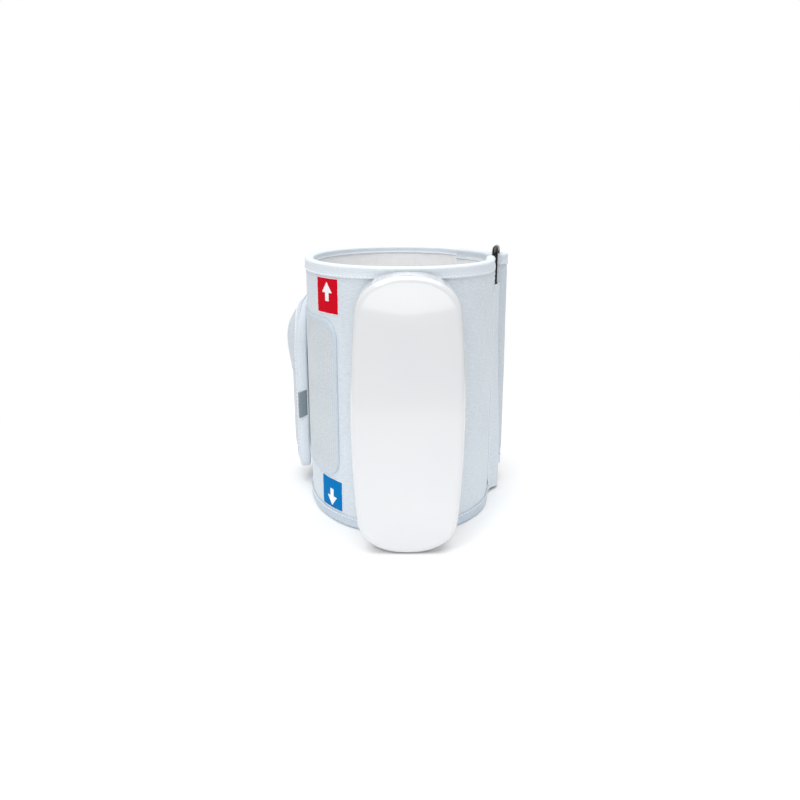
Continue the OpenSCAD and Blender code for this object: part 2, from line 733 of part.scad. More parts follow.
module flap_tape() {
    n = len(flap_edge);
    color(tape_colour)
        tape([for (i = [0 : n - 1]) let (
            q = flap_edge[i],
            d = flap_edge[min(n - 1, i + 1)] - flap_edge[max(0, i - 1)],
            run = unit([d[0] * flap_length, d[1]]))
            [for (p = tape_profile(flap_t))
                flap_point(q[0] - p[1] * run[1] / flap_length, q[1] + p[1] * run[0], p[0])]]);
}

module hook_pad() {
    inner = -flap_t / 2 - layer_gap;
    end = tape_h + 2.4;
    grid = function(off) [for (i = [0 : 9]) let (u = between(pad_from, pad_to, i / 9))
        [for (j = [0 : 15])
            flap_point(u, between(flap_lo(u) + end, flap_hi(min(1, u + pad_turn)) - end, j / 15), off)]];
    color([0.75, 0.78, 0.8])
        quilt(grid(inner), grid(inner - hook_t));
}

module pull_tab() {
    reach = flap_t / 2 + tape_swell + 2 * layer_gap + tab_t / 2;
    us = [for (i = [0 : 6]) between(0.86, 1, i / 6)];
    tip = flap_mid(1, tab_z);
    out = flap_out(1, tab_z);
    back = [out[1], -out[0]];
    over_end = cap_t + 3 * layer_gap + tab_t / 2;
    outside = [for (u = us) [flap_mid(u, tab_z) + reach * flap_out(u, tab_z), flap_out(u, tab_z)]];
    inside = [for (i = [6 : -1 : 2]) let (u = us[i])
        [flap_mid(u, tab_z) - reach * flap_out(u, tab_z), -flap_out(u, tab_z)]];
    bend = [for (t = [60, 20, -20, -60])
        [tip - over_end * back * min(1, 1.25 * cos(t)) + reach * sin(t) * out * 0.98,
            sin(t) * out - cos(t) * back]];
    color([0.5, 0.54, 0.57])
        strip(concat(outside, bend, inside), tab_t, tab_z, tab_z + tab_h);
}

/* Dock */

module dock_plate() {
    color(case_colour)
        difference() {
            union() {
                intersection() {
                    wall(dock_from_a, dock_to_a, on_cloth, dock_out, 0, cuff_h);
                    translate([case_shift, 0, case_lo + dock_lo])
                        along_y(-loop_d, 0)
                            hull()
                                for (x = [4 - dock_w / 2, dock_w / 2 - 4], z = [4, dock_h - 4])
                                    translate([x, z])
                                        circle(r = 4);
                }
                intersection() {
                    wall(dock_from_a, dock_to_a, sheet_in, dock_out - dock_t / 2, 0, cuff_h);
                    at_stakes(stake_r);
                }
                for (z = [low_post, high_post])
                    intersection() {
                        rod_y(case_shift, case_lo + z, post_d / 2, post_tip_y, 0);
                        translate([0, -loop_d / 2 - 10 - on_cloth - dock_t / 2, 0])
                            block(-loop_w / 2, loop_w / 2, -10, 10, 0, cuff_h);
                    }
            }
            cuff_hole(0, port_z, port_d / 2 + 0.3);
        }
}

module air_port() {
    color([0.8, 0.83, 0.86])
        difference() {
            union() {
                intersection() {
                    wall(dock_from_a, dock_to_a, sheet_in, sheet_out, 0, cuff_h);
                    cuff_hole(0, port_z, flange_r);
                }
                rod_y(case_shift, case_lo + port_z, port_d / 2, post_tip_y,
                    -loop_y(case_shift) - (sheet_in + sheet_out) / 2);
            }
            cuff_hole(0, port_z, port_bore / 2);
            rod_y(case_shift, case_lo + port_z, port_bore / 2, post_tip_y - 1, -loop_d / 2);
        }
}

/* Housing shells */

straight = case_h / 2 - case_end;
outline_m = 16;
function side_x(dz) = case_w / 2 - dz * dz / (2 * barrel_r);
// A quarter of the outline, from the middle of a side to the tip of an end
function quarter(j) = j <= 4 ? let (dz = straight * j / 4) [side_x(dz), dz]
    : let (t = 90 * (j - 4) / (outline_m - 4), dz = straight + case_end * lobe(sin(t), 0.87))
        [side_x(dz) * lobe(cos(t), 0.87), dz];
function outline_at(k) = let (m = outline_m)
    k < m ? quarter(k)
    : k < 2 * m ? [-quarter(2 * m - k)[0], quarter(2 * m - k)[1]]
    : k < 3 * m ? -quarter(k - 2 * m)
    : [quarter(4 * m - k)[0], -quarter(4 * m - k)[1]];
// The outline drawn in by a distance, about the housing's middle
function outline(in) = [for (k = [0 : 4 * outline_m - 1]) let (p = outline_at(k))
    [case_shift + p[0] * (1 - 2 * in / case_w), case_lo + case_h / 2 + p[1] * (1 - 2 * in / case_h)]];

// A cup between two stacks of outlines, each given as [drawn in by, y]; the first ones share the rim
module cup(outer, inner) {
    k = 4 * outline_m;
    n = len(outer);
    m = len(inner);
    points = concat(
        [for (q = outer, p = outline(q[0])) [p[0], q[1], p[1]]],
        [for (q = inner, p = outline(q[0])) [p[0], q[1], p[1]]]);
    o = function(i, j) i * k + j % k;
    s = function(i, j) (n + i) * k + j % k;
    faces = concat(
        [for (i = [0 : n - 2], j = [0 : k - 1]) each [
            [o(i, j), o(i + 1, j), o(i + 1, j + 1)], [o(i, j), o(i + 1, j + 1), o(i, j + 1)]]],
        [for (i = [0 : m - 2], j = [0 : k - 1]) each [
            [s(i, j), s(i + 1, j + 1), s(i + 1, j)], [s(i, j), s(i, j + 1), s(i + 1, j + 1)]]],
        [for (j = [0 : k - 1]) each [
            [o(0, j), o(0, j + 1), s(0, j + 1)], [o(0, j), s(0, j + 1), s(0, j)]]],
        [[for (j = [k - 1 : -1 : 0]) o(n - 1, j)]],
        [[for (j = [0 : k - 1]) s(m - 1, j)]]);
    polyhedron(points, faces, convexity = 6);
}

// Rings of a crowned face: the shoulder's arc and then the crown
function crowned(in, r, y) = let (sy = y + crown_h + r) concat(
    [for (a = [0 : 18 : 90]) [in + r * (1 - cos(a)), sy - r * sin(a)]],
    [for (f = [0.2, 0.4, 0.6, 0.8]) [between(in + r, case_w / 2, f), y + crown_h * pow(1 - f, 2)]]);

module at_screws() {
    for (x = [-screw_x, screw_x], z = [screw_end, case_h - screw_end])
        translate([case_shift + x, 0, case_lo + z])
            children();
}

peg_x = board_w / 2 - 2.2;
peg_places = [for (x = [-peg_x, peg_x], z = [low_post + 6, case_h - board_end - 4.4]) [x, z]];

module front_cover() {
    color(case_colour)
        difference() {
            union() {
                cup(crowned(0, shoulder_r, front_y),
                    crowned(case_wall, shoulder_r - case_wall, front_y + case_wall));
                difference() {
                    along_y(part_y - 1.1, part_y + 1.2)
                        difference() {
                            polygon(outline(case_wall + 0.1));
                            polygon(outline(case_wall + 0.1 + tongue_t));
                        }
                    translate([case_shift, 0, case_lo])
                        block(0, case_w, part_y - 0.2, part_y + 2, socket_z - 6, socket_z + 6);
                }
                at_screws()
                    rod_y(0, 0, boss_r, front_y + case_wall - 0.2, part_y);
                for (p = peg_places)
                    translate([case_shift, 0, case_lo]) {
                        rod_y(p[0], p[1], 1.8, front_y + case_wall - 0.2, board_y);
                        rod_y(p[0], p[1], 0.95, board_y - 0.5, board_y + board_t + 0.6);
                    }
            }
            at_screws()
                rod_y(0, 0, 0.95, front_y + case_wall + 0.6, part_y + 1);
        }
}

screw_head_y = rim_y - 15;

module rear_case() {
    floor_y = rim_y - case_wall;
    color(case_colour)
        difference() {
            union() {
                difference() {
                    along_y(part_y, rim_y)
                        polygon(outline(0));
                    core(case_off, -1, case_h + 2);
                    difference() {
                        along_y(part_y - 1, floor_y)
                            polygon(outline(case_wall));
                        core(case_off + case_wall, -1, case_h + 2);
                    }
                }
                difference() {
                    union() {
                        at_screws()
                            rod_y(0, 0, boss_r + 0.4, part_y, rim_y - 0.5);
                        for (z = [low_post, high_post])
                            rod_y(case_shift, case_lo + z, post_d / 2 + 1.6, post_tip_y - 1.9, rim_y - 0.5);
                        translate([case_shift, 0, case_lo])
                            for (z = [pump_z - motor_d / 4, pump_z + motor_d / 4])
                                block(-motor_l - 0.5, -motor_l - 1.7, air_y - 1, rim_y - 0.5, z - 1, z + 1);
                    }
                    core(case_off + case_wall / 2, -1, case_h + 2);
                }
            }
            at_screws() {
                rod_y(0, 0, 1.15, part_y - 1, rim_y + 1);
                rod_y(0, 0, 2.1, screw_head_y, rim_y + 1);
            }
            for (z = [low_post, high_post])
                rod_y(case_shift, case_lo + z, post_d / 2 + post_gap, post_tip_y - 0.4, rim_y + 1);
            rod_y(case_shift, case_lo + port_z, socket_r + 0.1, back_in_y - 1, rim_y);
            translate([case_shift, 0, case_lo]) {
                pill_x(case_w / 2 - 6, case_w, side_y, button_z, button_l + 2 * button_gap,
                    button_w + 2 * button_gap);
                rod_x(side_y, light_z, light_d / 2 + shaft_gap, case_w / 2 - 6, case_w);
                pill_x(case_w / 2 - 3, case_w, parts_y + 1.5, socket_z, 8.6, 3.4);
            }
        }
}

module case_screws() {
    color(steel_colour)
        at_screws()
            difference() {
                union() {
                    rod_y(0, 0, 1.9, screw_head_y + 0.05, screw_head_y + 1.6);
                    rod_y(0, 0, 0.9, part_y - 1.9, screw_head_y + 0.1);
                }
                for (a = [0, 90])
                    translate([0, screw_head_y + 1.6, 0])
                        rotate([0, a, 0])
                            block(-1.1, 1.1, -0.7, 1, -0.25, 0.25);
            }
}

/* Inside the housing */

module in_case() {
    translate([case_shift, 0, case_lo])
        children();
}

module main_board() {
    color(board_colour)
        in_case()
            difference() {
                along_y(board_y, board_y + board_t)
                    translate([-board_w / 2, board_end])
                        square([board_w, case_h - 2 * board_end]);
                for (p = peg_places)
                    rod_y(p[0], p[1], 1.05, board_y - 1, board_y + board_t + 1);
            }
}

module board_chips() {
    color([0.13, 0.13, 0.14])
        in_case() {
            block(-16, -8, parts_y, parts_y + 1.1, 42, 50);
            block(-4, 5, parts_y, parts_y + 1.9, 40, 53);
            block(-18, -12, parts_y, parts_y + 0.9, 56, 60);
            block(switch_x - 3.4, switch_x - 0.4, parts_y, parts_y + 5, light_z - 1.5, light_z + 1.5);
        }
}

module pressure_sensor() {
    color([0.2, 0.2, 0.22])
        in_case()
            difference() {
                union() {
                    block(sensor_x - 4, sensor_x + 4, parts_y, parts_y + 3.8, port_z - 4, port_z + 4);
                    rod_y(sensor_x, port_z, nipple_r, parts_y + 3.6, air_y - tube_bend - 0.2);
                }
                rod_y(sensor_x, port_z, nipple_r / 2, parts_y + 1, air_y);
            }
}

pad_t = 0.6;
battery_w = 34;
battery_l = case_h - screw_end - battery_end - battery_z;

module battery() {
    y0 = parts_y + pad_t + layer_gap / 2;
    color([0.72, 0.74, 0.78])
        in_case() {
            block(-battery_w / 2, battery_w / 2, y0, y0 + battery_t, battery_z, battery_z + battery_l);
            block(-4, 4, y0 + 1, y0 + battery_t - 1, battery_z - 2.5, battery_z);
        }
}

module battery_pad() {
    color([0.25, 0.26, 0.28])
        in_case()
            block(3 - battery_w / 2, battery_w / 2 - 3, parts_y - layer_gap / 2, parts_y + pad_t,
                battery_z + 4, battery_z + battery_l - 4);
}

core_r = motor_d / 2 - 2;

module pump_motor() {
    color(steel_colour)
        in_case()
            difference() {
                rod_x(air_y, pump_z, motor_d / 2, -motor_l, 0);
                rod_x(air_y, pump_z, motor_d / 2 - 1, 1 - motor_l, -1);
                rod_x(air_y, pump_z, shaft_d / 2 + shaft_gap, -motor_l - 1, 1);
            }
}

module motor_core() {
    color([0.55, 0.35, 0.2])
        in_case()
            difference() {
                rod_x(air_y, pump_z, core_r, 3 - motor_l, -3);
                rod_x(air_y, pump_z, shaft_d / 2, -motor_l, 0);
            }
}

module motor_shaft() {
    color(steel_colour)
        in_case() {
            rod_x(air_y, pump_z, shaft_d / 2, -motor_l - 0.4, 7);
            rod_x(air_y + 1, pump_z, 3, 3.6, 6.4);
        }
}

module motor_grip() {
    color(rubber_colour)
        in_case()
            difference() {
                rod_x(air_y, pump_z, motor_d / 2 + grip_t, 3 - motor_l, -3);
                rod_x(air_y, pump_z, motor_d / 2, 2 - motor_l, -2);
            }
}

module pump_head() {
    color([0.9, 0.9, 0.88])
        in_case()
            difference() {
                rod_x(air_y, pump_z, motor_d / 2 + grip_t, 0, head_l);
                rod_x(air_y, pump_z, motor_d / 2 - 1, 1.6, head_l + 1);
                rod_x(air_y, pump_z, shaft_d / 2 + 0.4, -1, 3);
            }
}

module diaphragm() {
    color(rubber_colour)
        in_case()
            union() {
                rod_x(air_y, pump_z, motor_d / 2 + grip_t, head_l, cap_x);
                rod_x(air_y, pump_z, motor_d / 2 - 2, head_l - 2, head_l + 0.1);
            }
}

module pump_cap() {
    color([0.9, 0.9, 0.88])
        in_case()
            difference() {
                union() {
                    rod_x(air_y, pump_z, motor_d / 2 + grip_t, cap_x, cap_x + cap_l);
                    rod_x(air_y, pump_z, nipple_r, cap_x + cap_l - 0.1, cap_x + cap_l + barb_l + 0.2);
                }
                rod_x(air_y, pump_z, motor_d / 2 - 2, cap_x - 1, cap_x + cap_l - 1.4);
                rod_x(air_y, pump_z, nipple_r / 2, cap_x, cap_x + cap_l + 3);
            }
}

valve_h = 16;
plunger_l = 8.2;
valve_floor = valve_z + 2;
valve_top = valve_z + valve_h;
plunger_r = plunger_d / 2;

module valve_body() {
    color([0.18, 0.19, 0.2])
        in_case()
            difference() {
                union() {
                    block(tee_x - 5, tee_x + 5, parts_y, air_y + plunger_r + 1.6, valve_z, valve_top);
                    rod_z(tee_x, air_y, nipple_r, valve_top - 0.1, valve_top + 2.6);
                }
                rod_z(tee_x, air_y, plunger_r + shaft_gap, valve_floor,
                    valve_floor + plunger_l + plunger_lift + 0.4);
                rod_z(tee_x, air_y, nipple_r / 2, valve_floor, valve_top + 3);
            }
}

module valve_plunger() {
    color([0.6, 0.61, 0.63])
        in_case()
            rod_z(tee_x, air_y, plunger_r, valve_floor + 0.1, valve_floor + 0.1 + plunger_l);
}

// A quarter bend of tube round a middle point, in the plane of X and Z, from angle a0
module bend_xz(x, y, z, a0, r) {
    translate([x, y, z])
        rotate([90, 0, 0])
            rotate([0, 0, a0])
                rotate_extrude(angle = 90)
                    translate([tube_bend, 0])
                        circle(r = r);
}

// The same in the plane of X and Y
module bend_xy(x, y, z, a0, r) {
    translate([x, y, z])
        rotate([0, 0, a0])
            rotate_extrude(angle = 90)
                translate([tube_bend, 0])
                    circle(r = r);
}

// The runs of air tube, at a radius: pump to tee, tee to socket, valve to tee, and socket to sensor
module tube_runs(r, more) {
    in_case() {
        rod_x(air_y, pump_z, r, cap_x + cap_l + 0.2 - more, riser_x - tube_bend);
        bend_xz(riser_x - tube_bend, air_y, pump_z + tube_bend, 270, r);
        rod_z(riser_x, air_y, r, pump_z + tube_bend, port_z - tube_bend);
        bend_xz(riser_x - tube_bend, air_y, port_z - tube_bend, 0, r);
        rod_x(air_y, port_z, r, tee_x + 2.4 - more, riser_x - tube_bend);
        rod_x(air_y, port_z, r, socket_r + 0.3 - more, tee_x - 2.4 + more);
        rod_z(tee_x, air_y, r, valve_top + 0.2 - more, port_z - 2.4 + more);
        rod_x(air_y, port_z, r, sensor_x + tube_bend, -socket_r - 0.3 + more);
        bend_xy(sensor_x + tube_bend, air_y - tube_bend, port_z, 90, r);
        rod_y(sensor_x, port_z, r, parts_y + 4 - more, air_y - tube_bend);
    }
}

module air_tubes() {
    color([0.8, 0.82, 0.83])
        difference() {
            tube_runs(tube_d / 2, 0);
            tube_runs(tube_bore / 2, 1);
        }
}

module tube_tee() {
    color([0.86, 0.86, 0.84])
        in_case()
            difference() {
                union() {
                    rod_x(air_y, port_z, nipple_r, tee_x - tee_r - barb_l, tee_x + tee_r + barb_l);
                    rod_z(tee_x, air_y, nipple_r, port_z - 3.4, port_z);
                    rod_x(air_y, port_z, tee_r, tee_x - tee_r, tee_x + tee_r);
                }
                rod_x(air_y, port_z, nipple_r / 2, tee_x - 6, tee_x + 6);
                rod_z(tee_x, air_y, nipple_r / 2, port_z - 5, port_z);
            }
}

seal_minor = 0.55;
seal_y = post_tip_y + post_l / 2 - 0.4;

module air_socket() {
    bore_r = port_d / 2 + post_gap;
    color([0.86, 0.87, 0.88])
        in_case()
            difference() {
                union() {
                    rod_y(0, port_z, socket_r, air_y - 3, -(loop_d / 2 + case_off + 0.2));
                    rod_y(0, port_z, socket_r + 1.5, back_in_y - 1.2, back_in_y - 0.2);
                    rod_x(air_y, port_z, nipple_r, -socket_r - socket_barb_l, socket_r + socket_barb_l);
                }
                rod_y(0, port_z, bore_r, post_tip_y - 0.4, -loop_d / 2);
                rod_y(0, port_z, bore_r + 2 * seal_minor + 0.1, seal_y - seal_minor - 0.1,
                    seal_y + seal_minor + 0.1);
                rod_y(0, port_z, nipple_r / 2, air_y, post_tip_y);
                rod_x(air_y, port_z, nipple_r / 2, -socket_r - socket_barb_l - 1,
                    socket_r + socket_barb_l + 1);
            }
}

module socket_seal() {
    color(rubber_colour)
        in_case()
            translate([0, seal_y, port_z])
                rotate([90, 0, 0])
                    rotate_extrude()
                        translate([port_d / 2 + post_gap + seal_minor, 0])
                            circle(r = seal_minor);
}

stem_y = parts_y + 4.4;
plunger_out = button_travel + 0.2;

module push_switch() {
    color([0.16, 0.16, 0.17])
        in_case()
            difference() {
                block(switch_x - 3.6, switch_x, parts_y, parts_y + 6, button_z - 3, button_z + 3);
                rod_x(stem_y, button_z, 1.2 + shaft_gap, switch_x - 2, switch_x + 1);
            }
}

module switch_plunger() {
    color([0.75, 0.75, 0.73])
        in_case()
            rod_x(stem_y, button_z, 1.2, switch_x - 0.9, switch_x + plunger_out);
}

module start_button() {
    inner_x = side_x(abs(button_z - case_h / 2) + button_l / 2 + 2) - case_wall;
    flange_x = inner_x - 0.3;
    color([0.9, 0.92, 0.94])
        in_case() {
            pill_x(flange_x - 0.4, side_x(button_z - case_h / 2) + button_out, side_y, button_z,
                button_l, button_w);
            pill_x(flange_x - 0.8, flange_x, side_y, button_z, button_l + 2, button_w + 1.4);
            rod_x(stem_y, button_z, 1.1, switch_x + plunger_out + stem_gap, flange_x - 0.7);
        }
}

module light_pipe() {
    color([0.9, 0.95, 0.98])
        in_case()
            rod_x(side_y, light_z, light_d / 2, switch_x + 0.4, side_x(light_z - case_h / 2) + 0.1);
}

module charge_socket() {
    mouth_x = side_x(abs(socket_z - case_h / 2) + 4) - case_wall - 0.1;
    color(steel_colour)
        in_case()
            difference() {
                block(mouth_x - 5.4, mouth_x, parts_y, parts_y + 3, socket_z - 3.9, socket_z + 3.9);
                difference() {
                    block(mouth_x - 4.8, mouth_x + 1, parts_y + 0.4, parts_y + 2.6,
                        socket_z - 3.5, socket_z + 3.5);
                    block(mouth_x - 5, mouth_x - 1, parts_y + 1.1, parts_y + 1.8,
                        socket_z - 2.8, socket_z + 2.8);
                }
            }
}

/* The part's own origin: the middle of its underside */

strap_swell = strap_t / 2 + tape_swell;
flap_swell = flap_t / 2 + tape_swell;
right_x = max([for (q = strap_rows) q[0][0] + q[1][0] * strap_swell]);
back_y = max([for (q = strap_rows) q[0][1] + q[1][1] * strap_swell]);
left_x = min([for (u = flap_us) each concat([flap_point(u, flap_lo(u), flap_swell)[0]],
    [for (z = flap_levels(u)) flap_point(u, z, flap_t / 2 - tuck)[0]])]);

module placed() {
    translate([-(left_x + right_x) / 2, -(front_y + back_y) / 2, 0])
        children();
}

placed() outer_cloth();
placed() curl_sheet();
placed() air_bladder();
placed() lining();
placed() top_tape();
placed() bottom_tape();
placed() fastening_patch();
placed() up_label();
placed() up_arrow();
placed() down_label();
placed() down_arrow();
placed() ring_sleeve();
placed() strap();
placed() strap_tape();
placed() dock_plate();
placed() air_port();
placed() metal_ring();
placed() flap();
placed() flap_tape();
placed() hook_pad();
placed() pull_tab();
placed() front_cover();
placed() rear_case();
placed() case_screws();
placed() main_board();
placed() board_chips();
placed() pressure_sensor();
placed() battery();
placed() battery_pad();
placed() pump_motor();
placed() motor_core();
placed() motor_shaft();
placed() motor_grip();
placed() pump_head();
placed() diaphragm();
placed() pump_cap();
placed() valve_body();
placed() valve_plunger();
placed() air_tubes();
placed() tube_tee();
placed() air_socket();
placed() socket_seal();
placed() push_switch();
placed() switch_plunger();
placed() start_button();
placed() light_pipe();
placed() charge_socket();
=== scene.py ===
import math

import bmesh
import bpy
import numpy as np
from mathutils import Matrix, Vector


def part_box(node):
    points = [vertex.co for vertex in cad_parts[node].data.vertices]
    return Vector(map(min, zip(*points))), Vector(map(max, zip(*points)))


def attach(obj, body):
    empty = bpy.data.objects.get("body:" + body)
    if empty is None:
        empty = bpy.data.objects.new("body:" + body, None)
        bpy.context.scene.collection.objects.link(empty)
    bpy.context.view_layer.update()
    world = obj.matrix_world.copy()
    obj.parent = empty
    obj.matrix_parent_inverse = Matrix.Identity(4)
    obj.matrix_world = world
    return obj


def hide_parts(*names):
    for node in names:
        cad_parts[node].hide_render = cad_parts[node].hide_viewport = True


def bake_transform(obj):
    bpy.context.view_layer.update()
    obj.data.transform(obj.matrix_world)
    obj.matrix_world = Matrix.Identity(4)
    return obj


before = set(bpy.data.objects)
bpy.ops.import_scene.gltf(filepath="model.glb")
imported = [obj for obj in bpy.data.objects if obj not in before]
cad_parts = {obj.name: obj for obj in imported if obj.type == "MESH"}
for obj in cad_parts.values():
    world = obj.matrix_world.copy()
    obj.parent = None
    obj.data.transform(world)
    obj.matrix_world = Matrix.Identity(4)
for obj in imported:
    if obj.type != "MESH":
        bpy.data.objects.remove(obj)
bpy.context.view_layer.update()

# Upper-arm blood pressure monitor: a preformed cuff that stands as an open loop, with its housing docked on
# the front, and a ring and a strap that close it at the back right. Pieces are worked out in millimetres
# round the loop's middle, as the CAD works them out, and place() moves them to the row frame in metres.

# Lengths are in millimetres, and names that end in _A are angles round the loop, in degrees from its right side

# Cuff loop
LOOP_W = 115
LOOP_D = 152
LOOP_POWER = 2.09
STRAP_PULL = 0.05
CUFF_H = 148
CUFF_FROM_A = 42
CUFF_TO_A = 355.3
FAR_BAR_A = 9
NEAR_BAR_A = -2
FLAT_TO_A = 66
HINGE_A = 140.5
HINGE_GAP_A = 0.4
FLAP_TO_A = 180
SLEEVE_SEAM_A = -12
PATCH_FROM_A = 150
PATCH_TO_A = 233
LABEL_FROM_A = 217

# Cuff layers, as distances out from the cuff's outer face
WALL_T = 5.2
CLOTH_OUT = -0.6
CLOTH_IN = -1.5
LINING_OUT = -3.9
LINING_IN = -4.6
ON_CLOTH = -0.5

# Curled sheet and bladder between the layers, and the stretch where the near end is drawn in to the ring
SHEET_FROM_A = 54
SHEET_TO_A = 345
NEAR_PULL_A = 326
NEAR_PULL_OVER_A = 22
NEAR_END_IN = 1.9

# Edge tapes: how far they reach in over the cloth and past its edge, and their stitches
TAPE_H = 6
TAPE_IN_H = 4.2
END_TAPE_H = 4.6
CAP_T = 0.8
TAPE_SWELL = 0.6
STITCH = 2.6
STITCH_L = 1.75
THREAD_R = 0.26
THREAD_SLANT = 0.12

# Patch and labels
PATCH_R = 11
PATCH_RIM = 2.9
LABEL_W = 20.5
LABEL_INSET = 0.4

# Strap, ring and sleeve
STRAP_T = 3
STRAP_LO = 10
HINGE_HI = 126
HINGE_LO = 19
FOLD_R = 4.8
FACING_FROM_A = FAR_BAR_A + 5
FACING_TO_A = CUFF_FROM_A + 2
FACING_T = 0.5
FACING_LO = TAPE_H - 1
FACING_HI = CUFF_H - TAPE_IN_H - 0.5
STRAP_IN_OFF = -WALL_T / 2
FAR_BAR_OFF = STRAP_IN_OFF + FOLD_R
LAY_OFF = 2.3
SETTLE_A = 36
BAR_INSET = 1.65
WIRE_R = 1.8
RING_R = 4
RING_LO = 7
RING_HI = 151.2
SLEEVE_T = 1
SLEEVE_LO = 2
SLEEVE_HI = 131.5
SLEEVE_MID_R = 2.8
SLEEVE_FLARE = 3.1

# Flap
FLAP_BULGE = 10
FLAP_LEAN = 3.3
LEAN_LO = 66
LEAN_HI = 94
FLAP_END_OFF = 4.9
FLAP_RIM_OFF = 3.9
FLAP_DOME = 24
LOW_DOME = 16
LOW_TUCK = 0.5
FLAP_END_HI = 118
CORNER_L = 22
CORNER_H = 24
FLAP_END_LO = 10
FLAP_R = 8
FLAP_LENGTH = 60.5
HOOK_T = 1.6
HOOK_H = 0.45
HOOK_PITCH = 1.5
PAD_FROM = 0.62
PAD_TO = 0.88
PAD_TURN = 0.07
TAB_Z = 46.5
TAB_H = 16.5
TAB_T = 0.5
TAB_SLANT = 0.42

# Housing
CASE_SHIFT = 3
CASE_LO = 0.4
CASE_H = 145.4
CASE_W = 57.7
CASE_END = 18
BARREL_R = 592
CASE_WALL = 1.6
FRONT_Y = -100.9
SHOULDER_R = 3.2
CROWN_H = 1.2
PART_Y = FRONT_Y + CROWN_H + SHOULDER_R
BUTTON_Y = -89.4
BUTTON_Z = 104
BUTTON_L = 15.4
BUTTON_W = 5.4
BUTTON_OUT = 0.6

cover_low, cover_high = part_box("front_cover")
SHIFT = np.array([500 * (cover_low.x + cover_high.x) - CASE_SHIFT, 1000 * cover_low.y - FRONT_Y, 0])


def place(points):
    """Points in millimetres round the loop's middle, as metres in the row frame."""
    return (np.asarray(points, float) + SHIFT) / 1000


def between(a, b, s):
    return a + (b - a) * s


def ease(s):
    """A smooth rise from 0 to 1 as s goes from 0 to 1."""
    return (1 - np.cos(np.pi * np.clip(s, 0, 1))) / 2


def lobe(v, power):
    """A power of v that keeps its sign, as superellipses need."""
    return np.sign(v) * np.abs(v) ** power


def flattened(a):
    """How far the strap's pull flattens the loop, as a share of its radius."""
    share = np.clip((a - FAR_BAR_A) / (FLAT_TO_A - FAR_BAR_A), 0, 1)
    return STRAP_PULL * np.sin(np.pi * share) ** 2


def on_loop(a):
    """Points of the cuff's outer face, at angles in degrees."""
    a = np.asarray(a, float)
    t = np.radians(a)
    x = LOOP_W / 2 * lobe(np.cos(t), 2 / LOOP_POWER)
    y = LOOP_D / 2 * lobe(np.sin(t), 2 / LOOP_POWER)
    return (1 - flattened(a))[..., None] * np.stack([x, y], axis=-1)


def unit(v):
    return v / np.linalg.norm(v, axis=-1, keepdims=True)


def to_right(d):
    """Plan directions turned a quarter to the right, and made one long."""
    return unit(np.stack([d[..., 1], -d[..., 0]], axis=-1))


def outward(a):
    a = np.asarray(a, float)
    return to_right(on_loop(a + 0.5) - on_loop(a - 0.5))


def at(a, off):
    return on_loop(a) + np.asarray(off, float)[..., None] * outward(a)


def drawn_to_bar(a):
    """How far the cuff's near end is drawn in towards the ring's bar."""
    return NEAR_END_IN * ease((np.asarray(a, float) - NEAR_PULL_A) / NEAR_PULL_OVER_A)


def on_wall(a, off):
    """Points of the cuff's wall, whose near end is drawn in."""
    return at(a, off - drawn_to_bar(a))


def run_of(path):
    """Length from a path's start to each of its points."""
    return np.concatenate([[0], np.cumsum(np.linalg.norm(np.diff(path, axis=0), axis=1))])


ANGLES = np.linspace(-20, 380, 4001)
LENGTHS = run_of(on_loop(ANGLES))


def arc(a):
    """Length along the cuff's outer face, in millimetres, at an angle."""
    return np.interp(a, ANGLES, LENGTHS)


def angle(length):
    return np.interp(length, LENGTHS, ANGLES)


def ripple(s, z, seed=0.0):
    """Even, gentle unevenness of cloth, from -1 to 1, over a length and a height in millimetres."""
    total = 0
    for k, (ls, lz) in enumerate([(47, 90), (31, -38), (19, 27), (12.7, -16), (8.3, 11)]):
        total = total + np.sin(2 * np.pi * (s / ls + z / lz) + 1.7 * k + seed) / (1 + 0.6 * k)
    return total / 2.6


# Meshes


def in_scene(name, data):
    obj = bpy.data.objects.new(name, data)
    bpy.context.scene.collection.objects.link(obj)
    return obj


def piece(name, points, faces, body, finish, uv=None, sharp=35):
    """A mesh of points in millimetres, that rides on a body and has a finish. uv is in millimetres too."""
    mesh = bpy.data.meshes.new(name)
    mesh.from_pydata(place(points).tolist(), [], faces)
    if uv is not None:
        corners = np.empty(len(mesh.loops), int)
        mesh.loops.foreach_get("vertex_index", corners)
        layer = mesh.uv_layers.new(name="cloth")
        layer.data.foreach_set("uv", np.asarray(uv, np.float32)[corners].ravel())
    bm = bmesh.new()
    bm.from_mesh(mesh)
    bmesh.ops.recalc_face_normals(bm, faces=bm.faces)
    bm.to_mesh(mesh)
    bm.free()
    mesh.shade_smooth()
    if sharp:
        mesh.set_sharp_from_angle(angle=math.radians(sharp))
    mesh.materials.append(finish)
    obj = in_scene(name, mesh)
    if body:
        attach(obj, body)
    return obj


def quilt(front, back):
    """Points and faces of a closed skin between two grids of points with the same rows and columns."""
    n, m = front.shape[:2]
    f = np.arange(n * m).reshape(n, m)
    b = f + n * m

    def quads(a, c):
        return np.stack([a[:-1], a[1:], c[1:], c[:-1]], axis=-1).reshape(-1, 4)

    faces = [
        np.stack([f[:-1, :-1], f[:-1, 1:], f[1:, 1:], f[1:, :-1]], axis=-1).reshape(-1, 4),
        np.stack([b[:-1, :-1], b[1:, :-1], b[1:, 1:], b[:-1, 1:]], axis=-1).reshape(-1, 4),
        quads(f[:, 0], b[:, 0]),
        quads(b[:, -1], f[:, -1]),
        quads(b[0], f[0]),
        quads(f[-1], b[-1]),
    ]
    points = np.concatenate([front.reshape(-1, 3), back.reshape(-1, 3)])
    return points, np.concatenate(faces).tolist()


